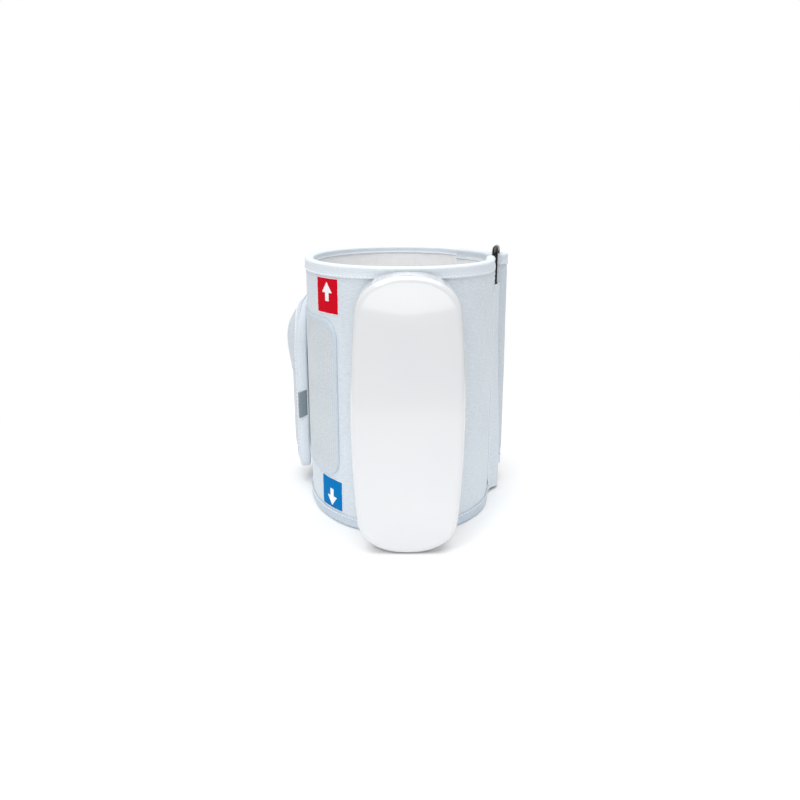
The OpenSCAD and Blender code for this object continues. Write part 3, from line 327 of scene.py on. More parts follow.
def loft(rows, closed=False):
    """Points and faces of a skin over sections, each a closed ring of points, with its ends shut."""
    n, m = rows.shape[:2]
    ids = np.arange(n * m).reshape(n, m)
    around = np.roll(ids, -1, axis=1)
    if closed:
        after, after_around = np.roll(ids, -1, axis=0), np.roll(around, -1, axis=0)
        faces = np.stack([ids, around, after_around, after], axis=-1).reshape(-1, 4).tolist()
    else:
        faces = np.stack([ids[:-1], around[:-1], around[1:], ids[1:]], axis=-1).reshape(-1, 4).tolist()
        faces += [ids[0][::-1].tolist(), ids[-1].tolist()]
    return rows.reshape(-1, 3), faces


def cloth_piece(name, front, back, u, v, body, finish, sharp=35):
    """A closed piece of cloth between two grids of points. u and v are each point's place on the flat cloth."""
    points, faces = quilt(front, back)
    uv = np.stack(np.broadcast_arrays(u, v), axis=-1).reshape(-1, 2)
    return piece(name, points, faces, body, finish, np.concatenate([uv, uv]), sharp)


def join(parts):
    """Several sets of points and faces as one."""
    points, faces, start = [], [], 0
    for p, f in parts:
        points.append(p)
        faces += [[v + start for v in face] for face in f]
        start += len(p)
    return np.concatenate(points), faces


def grid3(xy, z):
    """Plan points for each column, at heights, as a grid of points."""
    xy, z = np.broadcast_arrays(xy[..., None, :] if xy.ndim == 2 else xy, z[..., None])
    return np.concatenate([xy[..., :2], z[..., :1]], axis=-1)


def raised(xy, z):
    """Plan points, each at its own height."""
    return np.concatenate([xy, np.asarray(z)[..., None]], axis=-1)


# Finishes


def srgb(code):
    """A colour's sRGB hex code as linear values."""
    parts = [int(code[i:i + 2], 16) / 255 for i in (1, 3, 5)]
    return [*(c / 12.92 if c <= 0.04045 else ((c + 0.055) / 1.055) ** 2.4 for c in parts), 1.0]


def feed(tree, node, inputs):
    """Gives each of a node's inputs a value or another node's output."""
    for key, value in inputs.items():
        if isinstance(value, bpy.types.NodeSocket):
            tree.links.new(value, node.inputs[key])
        else:
            node.inputs[key].default_value = value


def add(tree, kind, inputs=None, **settings):
    """A new node with its settings, and with what feeds its inputs."""
    node = tree.nodes.new(kind)
    for key, value in settings.items():
        setattr(node, key, value)
    feed(tree, node, inputs or {})
    return node


def blank(name):
    """A new material, its node tree and its shader."""
    finish = bpy.data.materials.new(name)
    finish.use_nodes = True
    tree = finish.node_tree
    return finish, tree, tree.nodes["Principled BSDF"]


def cloth(name, light, dark, pitch, relief, grain=(3.0, 0.9), rough=0.9, sheen=0.2, crinkled=1.4, gloss=0.5):
    """Woven or knitted cloth. pitch is its thread spacing, across and up, in millimetres; relief is the depth of
    the threads in millimetres; grain is the size of the crinkle between them, which is crinkled times as deep."""
    finish, tree, shader = blank(name)
    place_on = add(tree, "ShaderNodeUVMap", uv_map="cloth").outputs["UV"]
    crinkle = add(tree, "ShaderNodeVectorMath", {0: place_on, 1: (1 / grain[0], 1 / grain[1], 1)},
                  operation="MULTIPLY").outputs[0]
    crinkle = add(tree, "ShaderNodeTexNoise", {"Vector": crinkle, "Scale": 1.0, "Detail": 3.0,
                                              "Roughness": 0.6}, noise_dimensions="2D").outputs[0]
    threads = add(tree, "ShaderNodeVectorMath", {0: place_on, 1: (math.pi / pitch[0], math.pi / pitch[1], 1)},
                  operation="MULTIPLY").outputs[0]
    threads = add(tree, "ShaderNodeVectorMath", {0: threads}, operation="SINE").outputs[0]
    threads = add(tree, "ShaderNodeVectorMath", {0: threads}, operation="ABSOLUTE").outputs[0]
    threads = add(tree, "ShaderNodeSeparateXYZ", {0: threads}).outputs
    weave = add(tree, "ShaderNodeMath", {0: threads[0], 1: threads[1]}, operation="MULTIPLY").outputs[0]
    height = add(tree, "ShaderNodeMath", {0: crinkle, 1: crinkled, 2: weave}, operation="MULTIPLY_ADD").outputs[0]
    patches = add(tree, "ShaderNodeVectorMath", {0: place_on, 1: (0.03, 0.05, 1)}, operation="MULTIPLY").outputs[0]
    patches = add(tree, "ShaderNodeTexNoise", {"Vector": patches, "Scale": 1.0, "Detail": 4.0},
                  noise_dimensions="2D").outputs[0]
    # The colour follows a random tone over large patches and the relief: it is darker in the crinkle's hollows and
    # between the threads, which is painted shade.
    tone = add(tree, "ShaderNodeMath", {0: patches, 1: 0.5, 2: height}, operation="MULTIPLY_ADD").outputs[0]
    tone = add(tree, "ShaderNodeMapRange", {"Value": tone, "From Min": 0.3 * crinkled - 0.1,
                                            "From Max": crinkled + 0.6}).outputs[0]
    colour = add(tree, "ShaderNodeMix", {"Factor": tone, "A": srgb(dark), "B": srgb(light)}, data_type="RGBA")
    bump = add(tree, "ShaderNodeBump", {"Height": height, "Strength": 1.0, "Distance": relief / 1000})
    feed(tree, shader, {"Base Color": colour.outputs["Result"], "Normal": bump.outputs["Normal"], "Roughness": rough,
                        "Sheen Weight": sheen, "Sheen Roughness": 0.4, "Specular IOR Level": gloss})
    return finish


def moulded(name, colour, worn, rough, grain=0.6, relief=0.01, coat=0.0, metallic=0.0, see_through=0.0):
    """A moulded, turned or cast finish: its tone and its gloss vary a little, over a grain in millimetres."""
    finish, tree, shader = blank(name)
    where = add(tree, "ShaderNodeTexCoord").outputs["Object"]
    fine = add(tree, "ShaderNodeTexNoise", {"Vector": where, "Scale": 1000 / grain, "Detail": 2.0}).outputs[0]
    broad = add(tree, "ShaderNodeTexNoise", {"Vector": where, "Scale": 40.0, "Detail": 3.0}).outputs[0]
    tone = add(tree, "ShaderNodeMix", {"Factor": broad, "A": srgb(worn), "B": srgb(colour)}, data_type="RGBA")
    gloss = add(tree, "ShaderNodeMapRange", {"Value": broad, "To Min": rough * 0.85, "To Max": rough * 1.15})
    bump = add(tree, "ShaderNodeBump", {"Height": fine, "Strength": 0.6, "Distance": relief / 1000})
    feed(tree, shader, {"Base Color": tone.outputs["Result"], "Roughness": gloss.outputs["Result"],
                        "Normal": bump.outputs["Normal"], "Metallic": metallic, "Coat Weight": coat,
                        "Coat Roughness": 0.04, "Transmission Weight": see_through})
    return finish


# The cuff's outer cloth is brushed nylon over thin foam: matt, a cool off-white, with a fine crosswise crinkle.
# Its threads are about 0.35 mm apart, and are drawn two to three times as coarse, so that they show.
NYLON = {"pitch": (0.9, 0.7), "relief": 0.06, "grain": (3.4, 0.75), "crinkled": 3.2}
CUFF_CLOTH = cloth("brushed_nylon_cloth", "#E9EFF5", "#CDD8E2", **NYLON)
# The strap and its flap are of the same cloth, drawn a shade greyer as painted shade.
STRAP_CLOTH_SHADED = cloth("strap_nylon_painted_shade", "#DDE3E9", "#C3CDD7", **NYLON)
# The edges are bound in folded nylon tape: closer woven and smoother, so lighter along its turn. The strap's tape
# and the bottom tape are each drawn a shade darker, as painted shade.
TAPE = {"pitch": (0.9, 0.9), "relief": 0.05, "grain": (1.6, 1.2), "rough": 0.75}
TAPE_CLOTH = cloth("folded_nylon_tape", "#EBF1F7", "#D6E1EB", **TAPE)
STRAP_TAPE_SHADED = cloth("strap_tape_painted_shade", "#E2E8EF", "#CDD8E2", **TAPE)
LOW_TAPE_SHADED = cloth("low_tape_painted_shade", "#D3DEE8", "#B8C7D4", **TAPE)
# The lining is velour: neutral white, without a thread to be seen, and soft at its edges.
LINING_CLOTH = cloth("velour_lining", "#FCFCFC", "#F2F3F4", (1.4, 1.4), 0.03, (4, 4), 0.95, 0.3)
# The fastening patch is loop cloth: rows of loops about 0.9 mm apart, drawn twice as wide, which make it greyer
# than the cloth round it, inside an edge that is pressed flat and shines a little.
PATCH_CLOTH = cloth("ribbed_loop_cloth", "#DFE6EA", "#B9C5CD", (1.9, 0.95), 0.20, (2.8, 1.0))
PATCH_EDGE = cloth("pressed_patch_edge", "#D2DDE6", "#BBCAD5", (1.0, 1.0), 0.05, (2.0, 1.2), 0.8, 0.1)
# The labels are woven of dyed polyester, red and blue with white figures: flat, full colours without sheen.
WOVEN = {"pitch": (0.7, 0.5), "relief": 0.04, "grain": (2.0, 0.8)}
RED_LABEL = cloth("red_woven_label", "#DE0022", "#C0001B", **WOVEN, rough=0.85, sheen=0.0, gloss=0.1)
BLUE_LABEL = cloth("blue_woven_label", "#007EC6", "#006DB0", **WOVEN, rough=0.85, sheen=0.0, gloss=0.1)
WHITE_WEFT = cloth("white_woven_figure", "#FFFFFF", "#EEF1F4", **WOVEN, rough=0.7, sheen=0.1)
# Polyester sewing thread: white, with a slight shine where it turns.
THREAD = cloth("sewing_thread", "#FBFDFF", "#EAF1F7", (0.5, 0.5), 0.03, (1.0, 1.0), 0.7, 0.3)
# Hook tape of stiff nylon: grey-white, rough and a little shiny at each hook.
HOOK_NYLON = cloth("hook_tape", "#D5DADF", "#B7BFC6", (0.9, 0.9), 0.15, (1.0, 1.0), 0.6, 0.1)
# The pull tab is dyed ribbon: a flat mid grey.
TAB_RIBBON = cloth("grey_ribbon", "#86929A", "#6F7B83", (0.8, 0.6), 0.06, (2.0, 0.8), 0.6, 0.2)

# The housing is ABS from a polished mould, so it shows soft reflections of the studio. The dock under it and the
# button come from a finely eroded mould, and are satin.
GLOSS_WHITE = moulded("polished_white_abs", "#E5E7E9", "#E1E3E6", 0.16, 0.9, 0.002, 0.5)
SATIN_WHITE = moulded("satin_white_abs", "#FAFBFC", "#F4F6F8", 0.4, 0.4, 0.008)
BUTTON_WHITE = moulded("button_abs", "#E4EAEF", "#DDE4EA", 0.3, 0.4, 0.006)
# The ring is plated steel wire, drawn near black as a painted reflection of dark surroundings, with narrow bright
# highlights.
WIRE_PAINTED_DARK = moulded("wire_dark_reflection_painted", "#1E2022", "#141618", 0.12, 0.7, 0.002, coat=0.7, metallic=1.0)
# Inside the housing and the cuff: plated steel, rubber, resin, a green board, foil, copper, nylon, silicone,
# acrylic and film, each as it comes from its maker, matt or satin.
STEEL = moulded("zinc_plated_steel", "#B9BBBE", "#A8ABAF", 0.32, 0.5, 0.006, metallic=1.0)
RUBBER = moulded("black_rubber", "#33363A", "#2B2E31", 0.75, 0.5, 0.02)
CHIP = moulded("chip_resin", "#232427", "#1C1D1F", 0.5, 0.3, 0.008)
BOARD = moulded("solder_masked_board", "#1C6B3C", "#175A33", 0.35, 0.6, 0.006)
FOIL = moulded("battery_foil", "#BFC3C9", "#AEB3BA", 0.35, 1.5, 0.03, metallic=0.8)
FOAM = moulded("adhesive_foam", "#45484C", "#3A3D40", 0.95, 0.5, 0.05)
COPPER = moulded("wound_copper_core", "#A8683A", "#8F5630", 0.4, 0.3, 0.03, metallic=0.9)
PUMP_NYLON = moulded("pump_nylon", "#E3E2DC", "#D8D7D0", 0.45, 0.5, 0.01)
VALVE_RESIN = moulded("valve_resin", "#2E3033", "#27292B", 0.45, 0.5, 0.01)
TUBE = moulded("clear_silicone_tube", "#DDE1E2", "#D0D5D7", 0.3, 0.6, 0.004, see_through=0.5)
CLEAR = moulded("clear_acrylic", "#EAF3F8", "#E1ECF2", 0.1, 0.8, 0.002, see_through=0.8)
FILM = moulded("bladder_film", "#9FA9B7", "#929CAA", 0.35, 1.5, 0.02)
SPRING = moulded("curled_plastic_sheet", "#DADEE0", "#CFD4D7", 0.3, 0.8, 0.004)


def edge_section(t, cap, reaches, deep=1.7):
    """The section of a folded edge tape round cloth that is t thick, as distances out of the cloth's middle and
    beyond its edge, and how far each point follows the puckers of the stitches. Its two leaves reach in over the
    cloth's faces."""
    o = t / 2 + TAPE_SWELL
    i = t / 2 + 0.12
    leaf = [(o - 0.14, 0, 1.0), (o + 0.04, 0.03, 1.0), (o + 0.12, 0.1, 1.0), (o - 0.02, 0.19, 0.9),
            (o - 0.12, 0.3, 0.4), (o - 0.22, 0.46, 0.1), (o - 0.20, 0.58, 0.0)]
    outer, inner = ([(out, reach * (part - 1), pull) for out, part, pull in leaf] for reach in reaches)
    turn = np.radians(np.linspace(0, 180, 17))
    bead = [((o + 0.05) * lobe(math.cos(v), 0.85), cap - deep + deep * math.sin(v) ** 0.95, 0.0) for v in turn]
    lip = [(-i, -reaches[1], 1.0), (-i, -reaches[1] / 2, 0.0), (-i + 0.3, cap - 0.9, 0.0), (i - 0.3, cap - 0.9, 0.0),
           (i, -reaches[0] / 2, 0.0), (i, -reaches[0], 1.0)]
    return np.array(outer + bead + [(-out, beyond, pull) for out, beyond, pull in inner[::-1]] + lip)


def stitches(name, base, run, out, body):
    """A row of stitches, each a short rounded loop of thread that lies on the cloth at a point of base. They are
    drawn 0.5 mm thick and 2.6 mm apart, thicker than real thread, so that each shows in the render."""
    ring = np.radians(np.arange(0, 360, 60))
    spine = np.array([(-1, 0.3), (-0.8, 0.75), (-0.3, 1), (0.3, 1), (0.8, 0.75), (1, 0.3)])
    x = np.repeat(spine[:, 0], 6) * STITCH_L / 2
    r = np.repeat(spine[:, 1], 6) * THREAD_R
    high, wide = r * np.tile(np.sin(ring), 6), r * np.tile(np.cos(ring), 6) + THREAD_SLANT * x
    cross = np.cross(run, out)
    p = (base[:, None] + x[:, None] * run[:, None] + high[:, None] * out[:, None] + wide[:, None] * cross[:, None])
    points, faces = join([loft(q.reshape(6, 6, 3)) for q in p])
    return piece(name, points, faces, body, THREAD, points[:, [0, 2]], 0)


def hem(name, path, sheet, t, body, reaches=(TAPE_H, TAPE_H), extra=None, finish=None, bare=None):
    """An edge tape folded over the edge of cloth that is t thick, and its row of stitches on each face. path runs
    along the edge, as length and height on the cloth, with the cloth on its right. sheet gives the point of the
    cloth at a length, a height and a distance out of its middle. extra makes the tape's outer and inner leaf
    thicker in places. bare is a stretch, as two lengths, whose inner face has no stitches."""
    lengths = run_of(path)
    total = lengths[-1]

    def on_path(steps):
        return np.stack([np.interp(steps, lengths, path[:, k]) for k in (0, 1)], axis=1)

    def spread(steps):
        return on_path(steps), -to_right(on_path(steps + 0.7) - on_path(steps - 0.7))

    def thicker(q):
        return np.stack(extra(q[:, 0], q[:, 1]), axis=1) if extra else np.zeros((len(q), 2))

    steps = np.linspace(0, total, max(8, int(total / (STITCH / 4))))
    q, beyond = spread(steps)
    section = edge_section(t, CAP_T, reaches)
    side = np.sign(section[:, 0])
    more = thicker(q)[:, (side < 0).astype(int)]
    pull = 0.10 * np.cos(2 * np.pi * steps / STITCH)[:, None]
    wave = (0.12 * np.cos(2 * np.pi * steps / STITCH + 0.6) + 0.15 * ripple(steps, 0 * steps))[:, None]
    outs = section[:, 0] + side * section[:, 2] * pull + section[:, 0] / (t / 2 + TAPE_SWELL) * more
    outs = outs + 0.06 * side * ripple(steps * 1.7, 20 + 0 * steps)[:, None]
    on = q[:, None] + (section[:, 1] + section[:, 2] * wave)[..., None] * beyond[:, None]
    points, quads = loft(sheet(on[..., 0], on[..., 1], outs))
    uv = np.stack([np.repeat(steps, len(section)), np.tile(run_of(section[:, :2]), len(steps))], axis=1)
    tape = piece(name, points, quads, body, finish or TAPE_CLOTH, uv, 50)

    at_edge, beyond = spread(np.arange(STITCH / 2, total - STITCH / 4, STITCH))
    run = np.stack([beyond[:, 1], -beyond[:, 0]], axis=1)
    rows = []
    for k, face in enumerate((1, -1)):
        q = at_edge + (0.85 - reaches[k]) * beyond
        seen = (q[:, 0] < bare[0]) | (q[:, 0] > bare[1]) if bare and k else np.full(len(q), True)
        q, along = q[seen], (run[seen], beyond[seen])
        high = face * (t / 2 + TAPE_SWELL + 0.14 + thicker(q)[:, k])
        ways = [unit(sheet(*(q + 0.5 * w).T, high) - sheet(*(q - 0.5 * w).T, high)) for w in along]
        rows.append((sheet(*q.T, high), ways[0], face * np.cross(ways[0], ways[1])))
    sewn = stitches(name + "_stitches", *(np.concatenate(r) for r in zip(*rows)), body)
    return tape, sewn


# Cuff

SIDE = np.arange(CUFF_FROM_A, CUFF_TO_A + 0.01, 0.85)


def crease(s, z, s0, z0, spread, lean, pitch, depth):
    """A group of short slanting wrinkles about one place of the cloth."""
    ds, dz = s - s0, z - z0
    across = dz * math.cos(lean) - ds * math.sin(lean)
    return depth * np.exp(-(ds / spread[0]) ** 2 - (dz / spread[1]) ** 2) * np.sin(2 * np.pi * across / pitch)


# Wrinkled places of the outer cloth: angle and height of the middle, spread along and up, lean in radians,
# spacing and depth
CREASES = [(318, 62, (16, 12), 0.5, 3.1, 0.26), (334, 50, (9, 10), 0.55, 2.7, 0.24),
           (100, 70, (30, 25), 0.4, 5.5, 0.15), (246, 20, (12, 9), -0.4, 3.3, 0.12)]


def cuff_relief(a, z):
    """How far the outer cloth stands off its layer: puffed between the tapes, wrinkled in places, and flat under the
    patch and the dock."""
    s = arc(a)
    puff = 0.28 * ease((z - 7) / 9) * ease((CUFF_H - 7 - z) / 9)
    wrinkles = sum(crease(s, z, arc(place_a), *rest) for place_a, *rest in CREASES)
    relief = puff + 0.12 * ripple(s, z) + wrinkles
    bare = 1 - ease((a - PATCH_FROM_A + 4) / 3) * ease((PATCH_TO_A + 6 - a) / 3)
    dock = 1 - ease((a - 250) / 3) * ease((297 - a) / 3)
    return np.minimum(relief * np.minimum(bare, dock), 0.5)


def cuff_cloth():
    """The outer cloth, with more rows of points towards its two edges, where it dips under the tapes."""
    border = np.linspace(1.2, 8, 8)
    heights = np.concatenate([border, np.linspace(9, CUFF_H - 9, 150), CUFF_H - border[::-1]])
    a, z = np.meshgrid(SIDE, heights, indexing="ij")
    front = grid3(on_wall(a, CLOTH_OUT + cuff_relief(a, z)), z)
    back = grid3(on_wall(a, CLOTH_IN + 0 * z), z)
    obj = cloth_piece("cuff_outer_cloth", front, back, arc(a), z, "cuff", CUFF_CLOTH)
    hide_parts("outer_cloth")
    return obj


def cuff_lining():
    """The lining, which sags a little between the tapes."""
    heights = np.linspace(1.2, CUFF_H - 1.2, 50)
    a, z = np.meshgrid(SIDE[::2], heights, indexing="ij")
    sag = 0.18 * ripple(arc(a), z, 2.0) * ease(z / 10) * ease((CUFF_H - z) / 10)
    front = grid3(on_wall(a, LINING_OUT + 0 * z), z)
    back = grid3(on_wall(a, LINING_IN - 0.15 + sag), z)
    obj = cloth_piece("cuff_lining", front, back, arc(a), z, "cuff", LINING_CLOTH)
    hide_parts("lining")
    return obj


def inner_layer(name, node, outer, inner, inset, finish):
    """A layer between the cuff's cloths, which follows the wall."""
    heights = np.linspace(TAPE_H + inset, CUFF_H - TAPE_H - inset, 12)
    a, z = np.meshgrid(np.arange(SHEET_FROM_A, SHEET_TO_A + 0.1, 1.5), heights, indexing="ij")
    points, faces = quilt(grid3(on_wall(a, outer + 0 * z), z), grid3(on_wall(a, inner + 0 * z), z))
    obj = piece(name, points, faces, "cuff", finish)
    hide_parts(node)
    return obj


def strap_facing():
    """The lining goes on over the inside of the strap, from the cuff's far end to the ring."""
    heights = np.linspace(FACING_LO, FACING_HI, 40)
    a, z = np.meshgrid(np.linspace(FACING_FROM_A, FACING_TO_A, 24), heights, indexing="ij")
    low = between(0, STRAP_LO, ease(1.1 * (CUFF_FROM_A - a) / (CUFF_FROM_A - FAR_BAR_A)))
    z = np.maximum(z, low + 3)
    inner = STRAP_IN_OFF - STRAP_T / 2 - 0.55 + 0.1 * ripple(arc(a), z, 2.0)
    front, back = grid3(at(a, inner + FACING_T), z), grid3(at(a, inner), z)
    return cloth_piece("strap_start_facing", front, back, arc(a), z, "cuff", LINING_CLOTH)


def cuff_sheet(s, z, off):
    """Points of the cuff at a length along its face, a height and a distance out of the wall's middle."""
    return raised(on_wall(angle(s), off - WALL_T / 2), z)


def cuff_hems():
    """The tapes along the cuff's top, bottom and two ends."""
    s = arc(np.arange(CUFF_FROM_A, CUFF_TO_A + 0.1, 0.6))
    top = np.stack([s, 0 * s + CUFF_H - CAP_T], axis=1)
    bottom = np.stack([s, 0 * s + CAP_T], axis=1)[::-1]
    z = np.linspace(3, CUFF_H - 4, 60)
    near_end = np.stack([arc(CUFF_TO_A) + 0 * z, z], axis=1)[::-1]
    z = np.linspace(TAPE_H + 1.5, CUFF_H - 4, 60)
    far_end = np.stack([arc(CUFF_FROM_A) + 0 * z, z], axis=1)
    pieces = []
    for name, path, inside, finish in (("top_edge_tape", top, TAPE_IN_H, TAPE_CLOTH),
                                       ("bottom_edge_tape", bottom, TAPE_H, LOW_TAPE_SHADED)):
        thick = WALL_T - 2 * TAPE_SWELL
        tape, sewn = hem(name, path, cuff_sheet, thick, "cuff", reaches=(TAPE_H, inside), finish=finish)
        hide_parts(name.replace("_edge", ""))
        pieces += [tape, sewn]
    for name, path, finish in (("near_end_tape", near_end, TAPE_CLOTH), ("far_end_tape", far_end, LINING_CLOTH)):
        thin = WALL_T - 2 * TAPE_SWELL - 0.16
        tape, sewn = hem(name, path, cuff_sheet, thin, "cuff", reaches=(END_TAPE_H, END_TAPE_H), finish=finish)
        pieces += [tape, sewn]
    return pieces


def drawn_in(d, r):
    """How far a side is drawn in by a round corner of radius r, at a distance d from the corner's end."""
    return np.where(d >= r, 0, r - np.sqrt(np.maximum(0, r * r - (r - np.minimum(d, r)) ** 2)))


def rounded_distance(x, z, w, h, r):
    """Distance inside the edge of a rounded rectangle that is w wide and h high, from its lower left corner."""
    dx, dz = np.minimum(x, w - x), np.minimum(z, h - z)
    corner = (dx < r) & (dz < r)
    return np.where(corner, r - np.hypot(r - dx, r - dz), np.minimum(dx, dz))


def patch():
    """The loop cloth patch, with a pressed, rolled edge and round corners."""
    low, high = (1000 * v.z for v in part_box("fastening_patch"))
    h, r = high - low, PATCH_R
    s0, w = arc(PATCH_FROM_A), arc(PATCH_TO_A) - arc(PATCH_FROM_A)
    rows = h * (1 - np.cos(np.linspace(0, np.pi, 110))) / 2
    share = (1 - np.cos(np.linspace(0, np.pi, 140))) / 2
    share = 0.35 * share + 0.65 * np.linspace(0, 1, 140)
    inset = drawn_in(np.minimum(rows, h - rows), r)
    x = inset[:, None] + (w - 2 * inset[:, None]) * share
    z = np.broadcast_to(rows[:, None], x.shape)
    d = rounded_distance(x, z, w, h, r)
    field = 0.62 + 0.06 * ripple(x, z)
    border = 0.75 + 0.33 * np.sqrt(np.clip(1 - ((d - 1.5) / 1.35) ** 2, 0, 1))
    height = np.where(d < PATCH_RIM, border, field + 0.13 * ease((4.4 - d) / 1.5))
    height = height * np.clip(0.35 + d / 0.6, 0, 1)
    a = angle(s0 + x)
    front, back = (grid3(at(a, ON_CLOTH + off), low + z) for off in (height, 0.02 + 0 * z))
    obj = cloth_piece("sewn_fastening_patch", front, back, x, z, "cuff", PATCH_CLOTH, 60)
    obj.data.materials.append(PATCH_EDGE)
    rim = np.concatenate([d.ravel(), d.ravel()])
    index = [int(max(rim[v] for v in f.vertices) < PATCH_RIM + 0.05) for f in obj.data.polygons]
    obj.data.polygons.foreach_set("material_index", index)
    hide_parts("fastening_patch")
    return obj


# The arrow on a label: share of its length from the tail, and half its width there
ARROW = [(0, 1.45), (0.03, 1.6), (0.25, 1.6), (0.44, 1.6), (0.455, 4.25), (0.47, 4.5), (0.55, 3.75), (0.7, 2.55),
         (0.85, 1.3), (0.97, 0.4), (1.0, 0.1)]
ARROW_ASIDE = 0.9


def label(name, node, arrow_node, finish, up):
    """A woven label, sewn down along its edges, with a plain arrow woven into it."""
    low, high = (1000 * v.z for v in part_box(node))
    n = 34
    s0 = arc(LABEL_FROM_A)

    def layer(part, inset, rise, finish):
        x, z = np.meshgrid(*(np.linspace(inset, end - inset, n) for end in (LABEL_W, high - low)), indexing="ij")
        d = np.minimum(np.minimum(x, LABEL_W - x), np.minimum(z, high - low - z)) - inset
        height = rise + 0.2 * ease(d / 1.6) + 0.05 * ripple(3 * x, 3 * z)
        edge = 0.12 * ripple(9 * (x + z), 7 * (x - z)) * ease((1.2 - d) / 1.2)
        a, zz = angle(s0 + x + edge), low + z + edge
        front, back = (grid3(at(a, ON_CLOTH + off), zz) for off in (height, 0.02 + 0 * z))
        return cloth_piece(part, front, back, x, z, "cuff", finish, 60)

    selvage = layer(name + "_selvage", 0, 0.16, WHITE_WEFT)
    obj = layer(name, LABEL_INSET, 0.28, finish)
    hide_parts(node)

    bottom, top = (1000 * v.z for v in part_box(arrow_node))
    length = top - bottom
    share, half = np.array(ARROW).T
    x, k = np.meshgrid(np.linspace(-1, 1, 15), np.arange(len(share)), indexing="ij")
    zz = bottom + length * (share[k] if up > 0 else 1 - share[k])
    a = angle(s0 + LABEL_W / 2 + ARROW_ASIDE + x * half[k])
    front, back = (grid3(at(a, ON_CLOTH + off + 0 * zz), zz) for off in (0.62, 0.3))
    arrow = cloth_piece(name + "_arrow", front, back, x * half[k], zz, "cuff", WHITE_WEFT)
    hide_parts(arrow_node)
    return obj, [selvage, arrow]


def sleeve():
    """The cloth that holds the ring: off the cuff's outer face, round the ring's near bar and back inside."""
    near = at(NEAR_BAR_A, -BAR_INSET)
    turn = math.atan2(*outward(NEAR_BAR_A)[::-1])
    over = SLEEVE_MID_R - BAR_INSET
    s = np.linspace(0, 6 / 7, 26)
    a = between(SLEEVE_SEAM_A, NEAR_BAR_A, s)
    leg_out = at(a, between(-drawn_to_bar(360 + SLEEVE_SEAM_A) - 0.3, over, ease(7 * s / 6.2)))
    t = turn + np.radians(np.linspace(0, 180, 30))
    ways = np.stack([np.cos(t), np.sin(t)], axis=1)
    bend = near + SLEEVE_MID_R * ways
    back_in = -WALL_T - drawn_to_bar(360 + a[::-1]) - 0.6
    leg_in = at(a[::-1], between(back_in, -BAR_INSET - SLEEVE_MID_R, ease((7 * s[::-1] - 5) / 1.3)))
    path = np.concatenate([leg_out, bend, leg_in])
    out = np.concatenate([outward(a), ways, -outward(a[::-1])])
    n = len(path)
    facing = np.concatenate([np.zeros(26), np.linspace(0, 1, 30), np.ones(26)])
    low = np.where((facing > 0.34) & (facing < 0.98), RING_LO + RING_R + 0.4, SLEEVE_LO)
    low = np.where((facing > 0) & (facing < 0.34), SLEEVE_LO - 1.1, low)
    rows = np.linspace(0, 1, 60)
    z = low[:, None] + (SLEEVE_HI - low[:, None]) * rows
    lengths = run_of(path)
    start = 1 - ease(lengths / 9)[:, None]
    over_tape = 0.75 * start * ease((10 - z) / 3)
    leaning = np.concatenate([ease((s / s[-1] - 0.3) / 0.7), (1 + np.cos(t - turn)) / 2, np.zeros(26)])
    flare = SLEEVE_FLARE * ease((105 - z) / 85) * leaning[:, None]
    gather = 0.25 * np.exp(-((z - SLEEVE_HI + 1.2) / 1.2) ** 2)
    swell = 0.10 * ripple(3 * lengths[:, None], z, 4.0) + over_tape + flare + gather * (1 - start)
    mid = grid3(path[:, None, :] + swell[..., None] * out[:, None, :], z)
    way = np.concatenate([out, np.zeros((n, 1))], axis=1)[:, None]
    to_end = np.minimum(lengths, lengths[-1] - lengths)[:, None]
    half = SLEEVE_T / 2 * (0.45 + 0.55 * ease(to_end / 3))[..., None]
    front, back = mid + half * way, mid - half * way
    obj = cloth_piece("ring_sleeve_cloth", front, back, lengths[:, None], z, "cuff", CUFF_CLOTH)
    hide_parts("ring_sleeve")
    rise = np.arange(3.5, SLEEVE_HI - 1, 2.4)
    spot = np.interp(rise, z[2], np.arange(60))
    low_row, high_row = np.floor(spot).astype(int), np.minimum(np.floor(spot).astype(int) + 1, 59)
    share = (spot - low_row)[:, None]
    base = (1 - share) * mid[2, low_row] + share * mid[2, high_row]
    side = np.tile([*outward(a[2]), 0.0], (len(rise), 1))
    sewn = stitches("ring_sleeve_stitches", base + 0.34 * side, np.tile([0, 0, 1.0], (len(rise), 1)), side, "cuff")
    return obj, sewn


# Strap and flap: one padded cloth, which bends where the flap peels


def flap_hi(u):
    """Upper edge of the flap's cloth, from the hinge at u = 0 to the free end at u = 1."""
    corner = drawn_in((1 - u) * FLAP_LENGTH, CORNER_L) * CORNER_H / CORNER_L
    return between(HINGE_HI, FLAP_END_HI, ease(1.1 * u)) - CAP_T - corner


def flap_lo(u):
    """Lower edge of the flap's cloth."""
    return between(HINGE_LO, FLAP_END_LO, ease((u - 0.4) / 0.5)) + CAP_T + drawn_in((1 - u) * FLAP_LENGTH, FLAP_R)


def dome(d, full):
    """A rise from 0 to 1 over the distance full from an edge, steep at first."""
    return 1 - (1 - np.clip(d / full, 0, 1)) ** 2


def flap_off(u, z):
    """Distance from the cuff to the flap's middle: it bulges between its two ends and domes towards both edges."""
    v = np.clip(u, 0, 1)
    end = between(FLAP_END_OFF, FLAP_RIM_OFF, ease((z - LEAN_HI + 2) / 22))
    bulge = FLAP_BULGE + FLAP_LEAN * ease((z - LEAN_LO) / (LEAN_HI - LEAN_LO))
    bulge = bulge * dome(flap_hi(v) - z, FLAP_DOME) * (1 - LOW_TUCK * (1 - dome(z - flap_lo(v), LOW_DOME)))
    start = between(LAY_OFF, FLAP_RIM_OFF - 0.15, ease(v / 0.22))
    return start + (end - FLAP_RIM_OFF + 0.15) * ease((v - 0.2) / 0.8) + bulge * np.sin(np.pi * v ** 1.1) ** 1.25


def flap_mid(u, z):
    """Plan points of the flap's middle."""
    return at(between(HINGE_A + HINGE_GAP_A, FLAP_TO_A, u), flap_off(u, z))


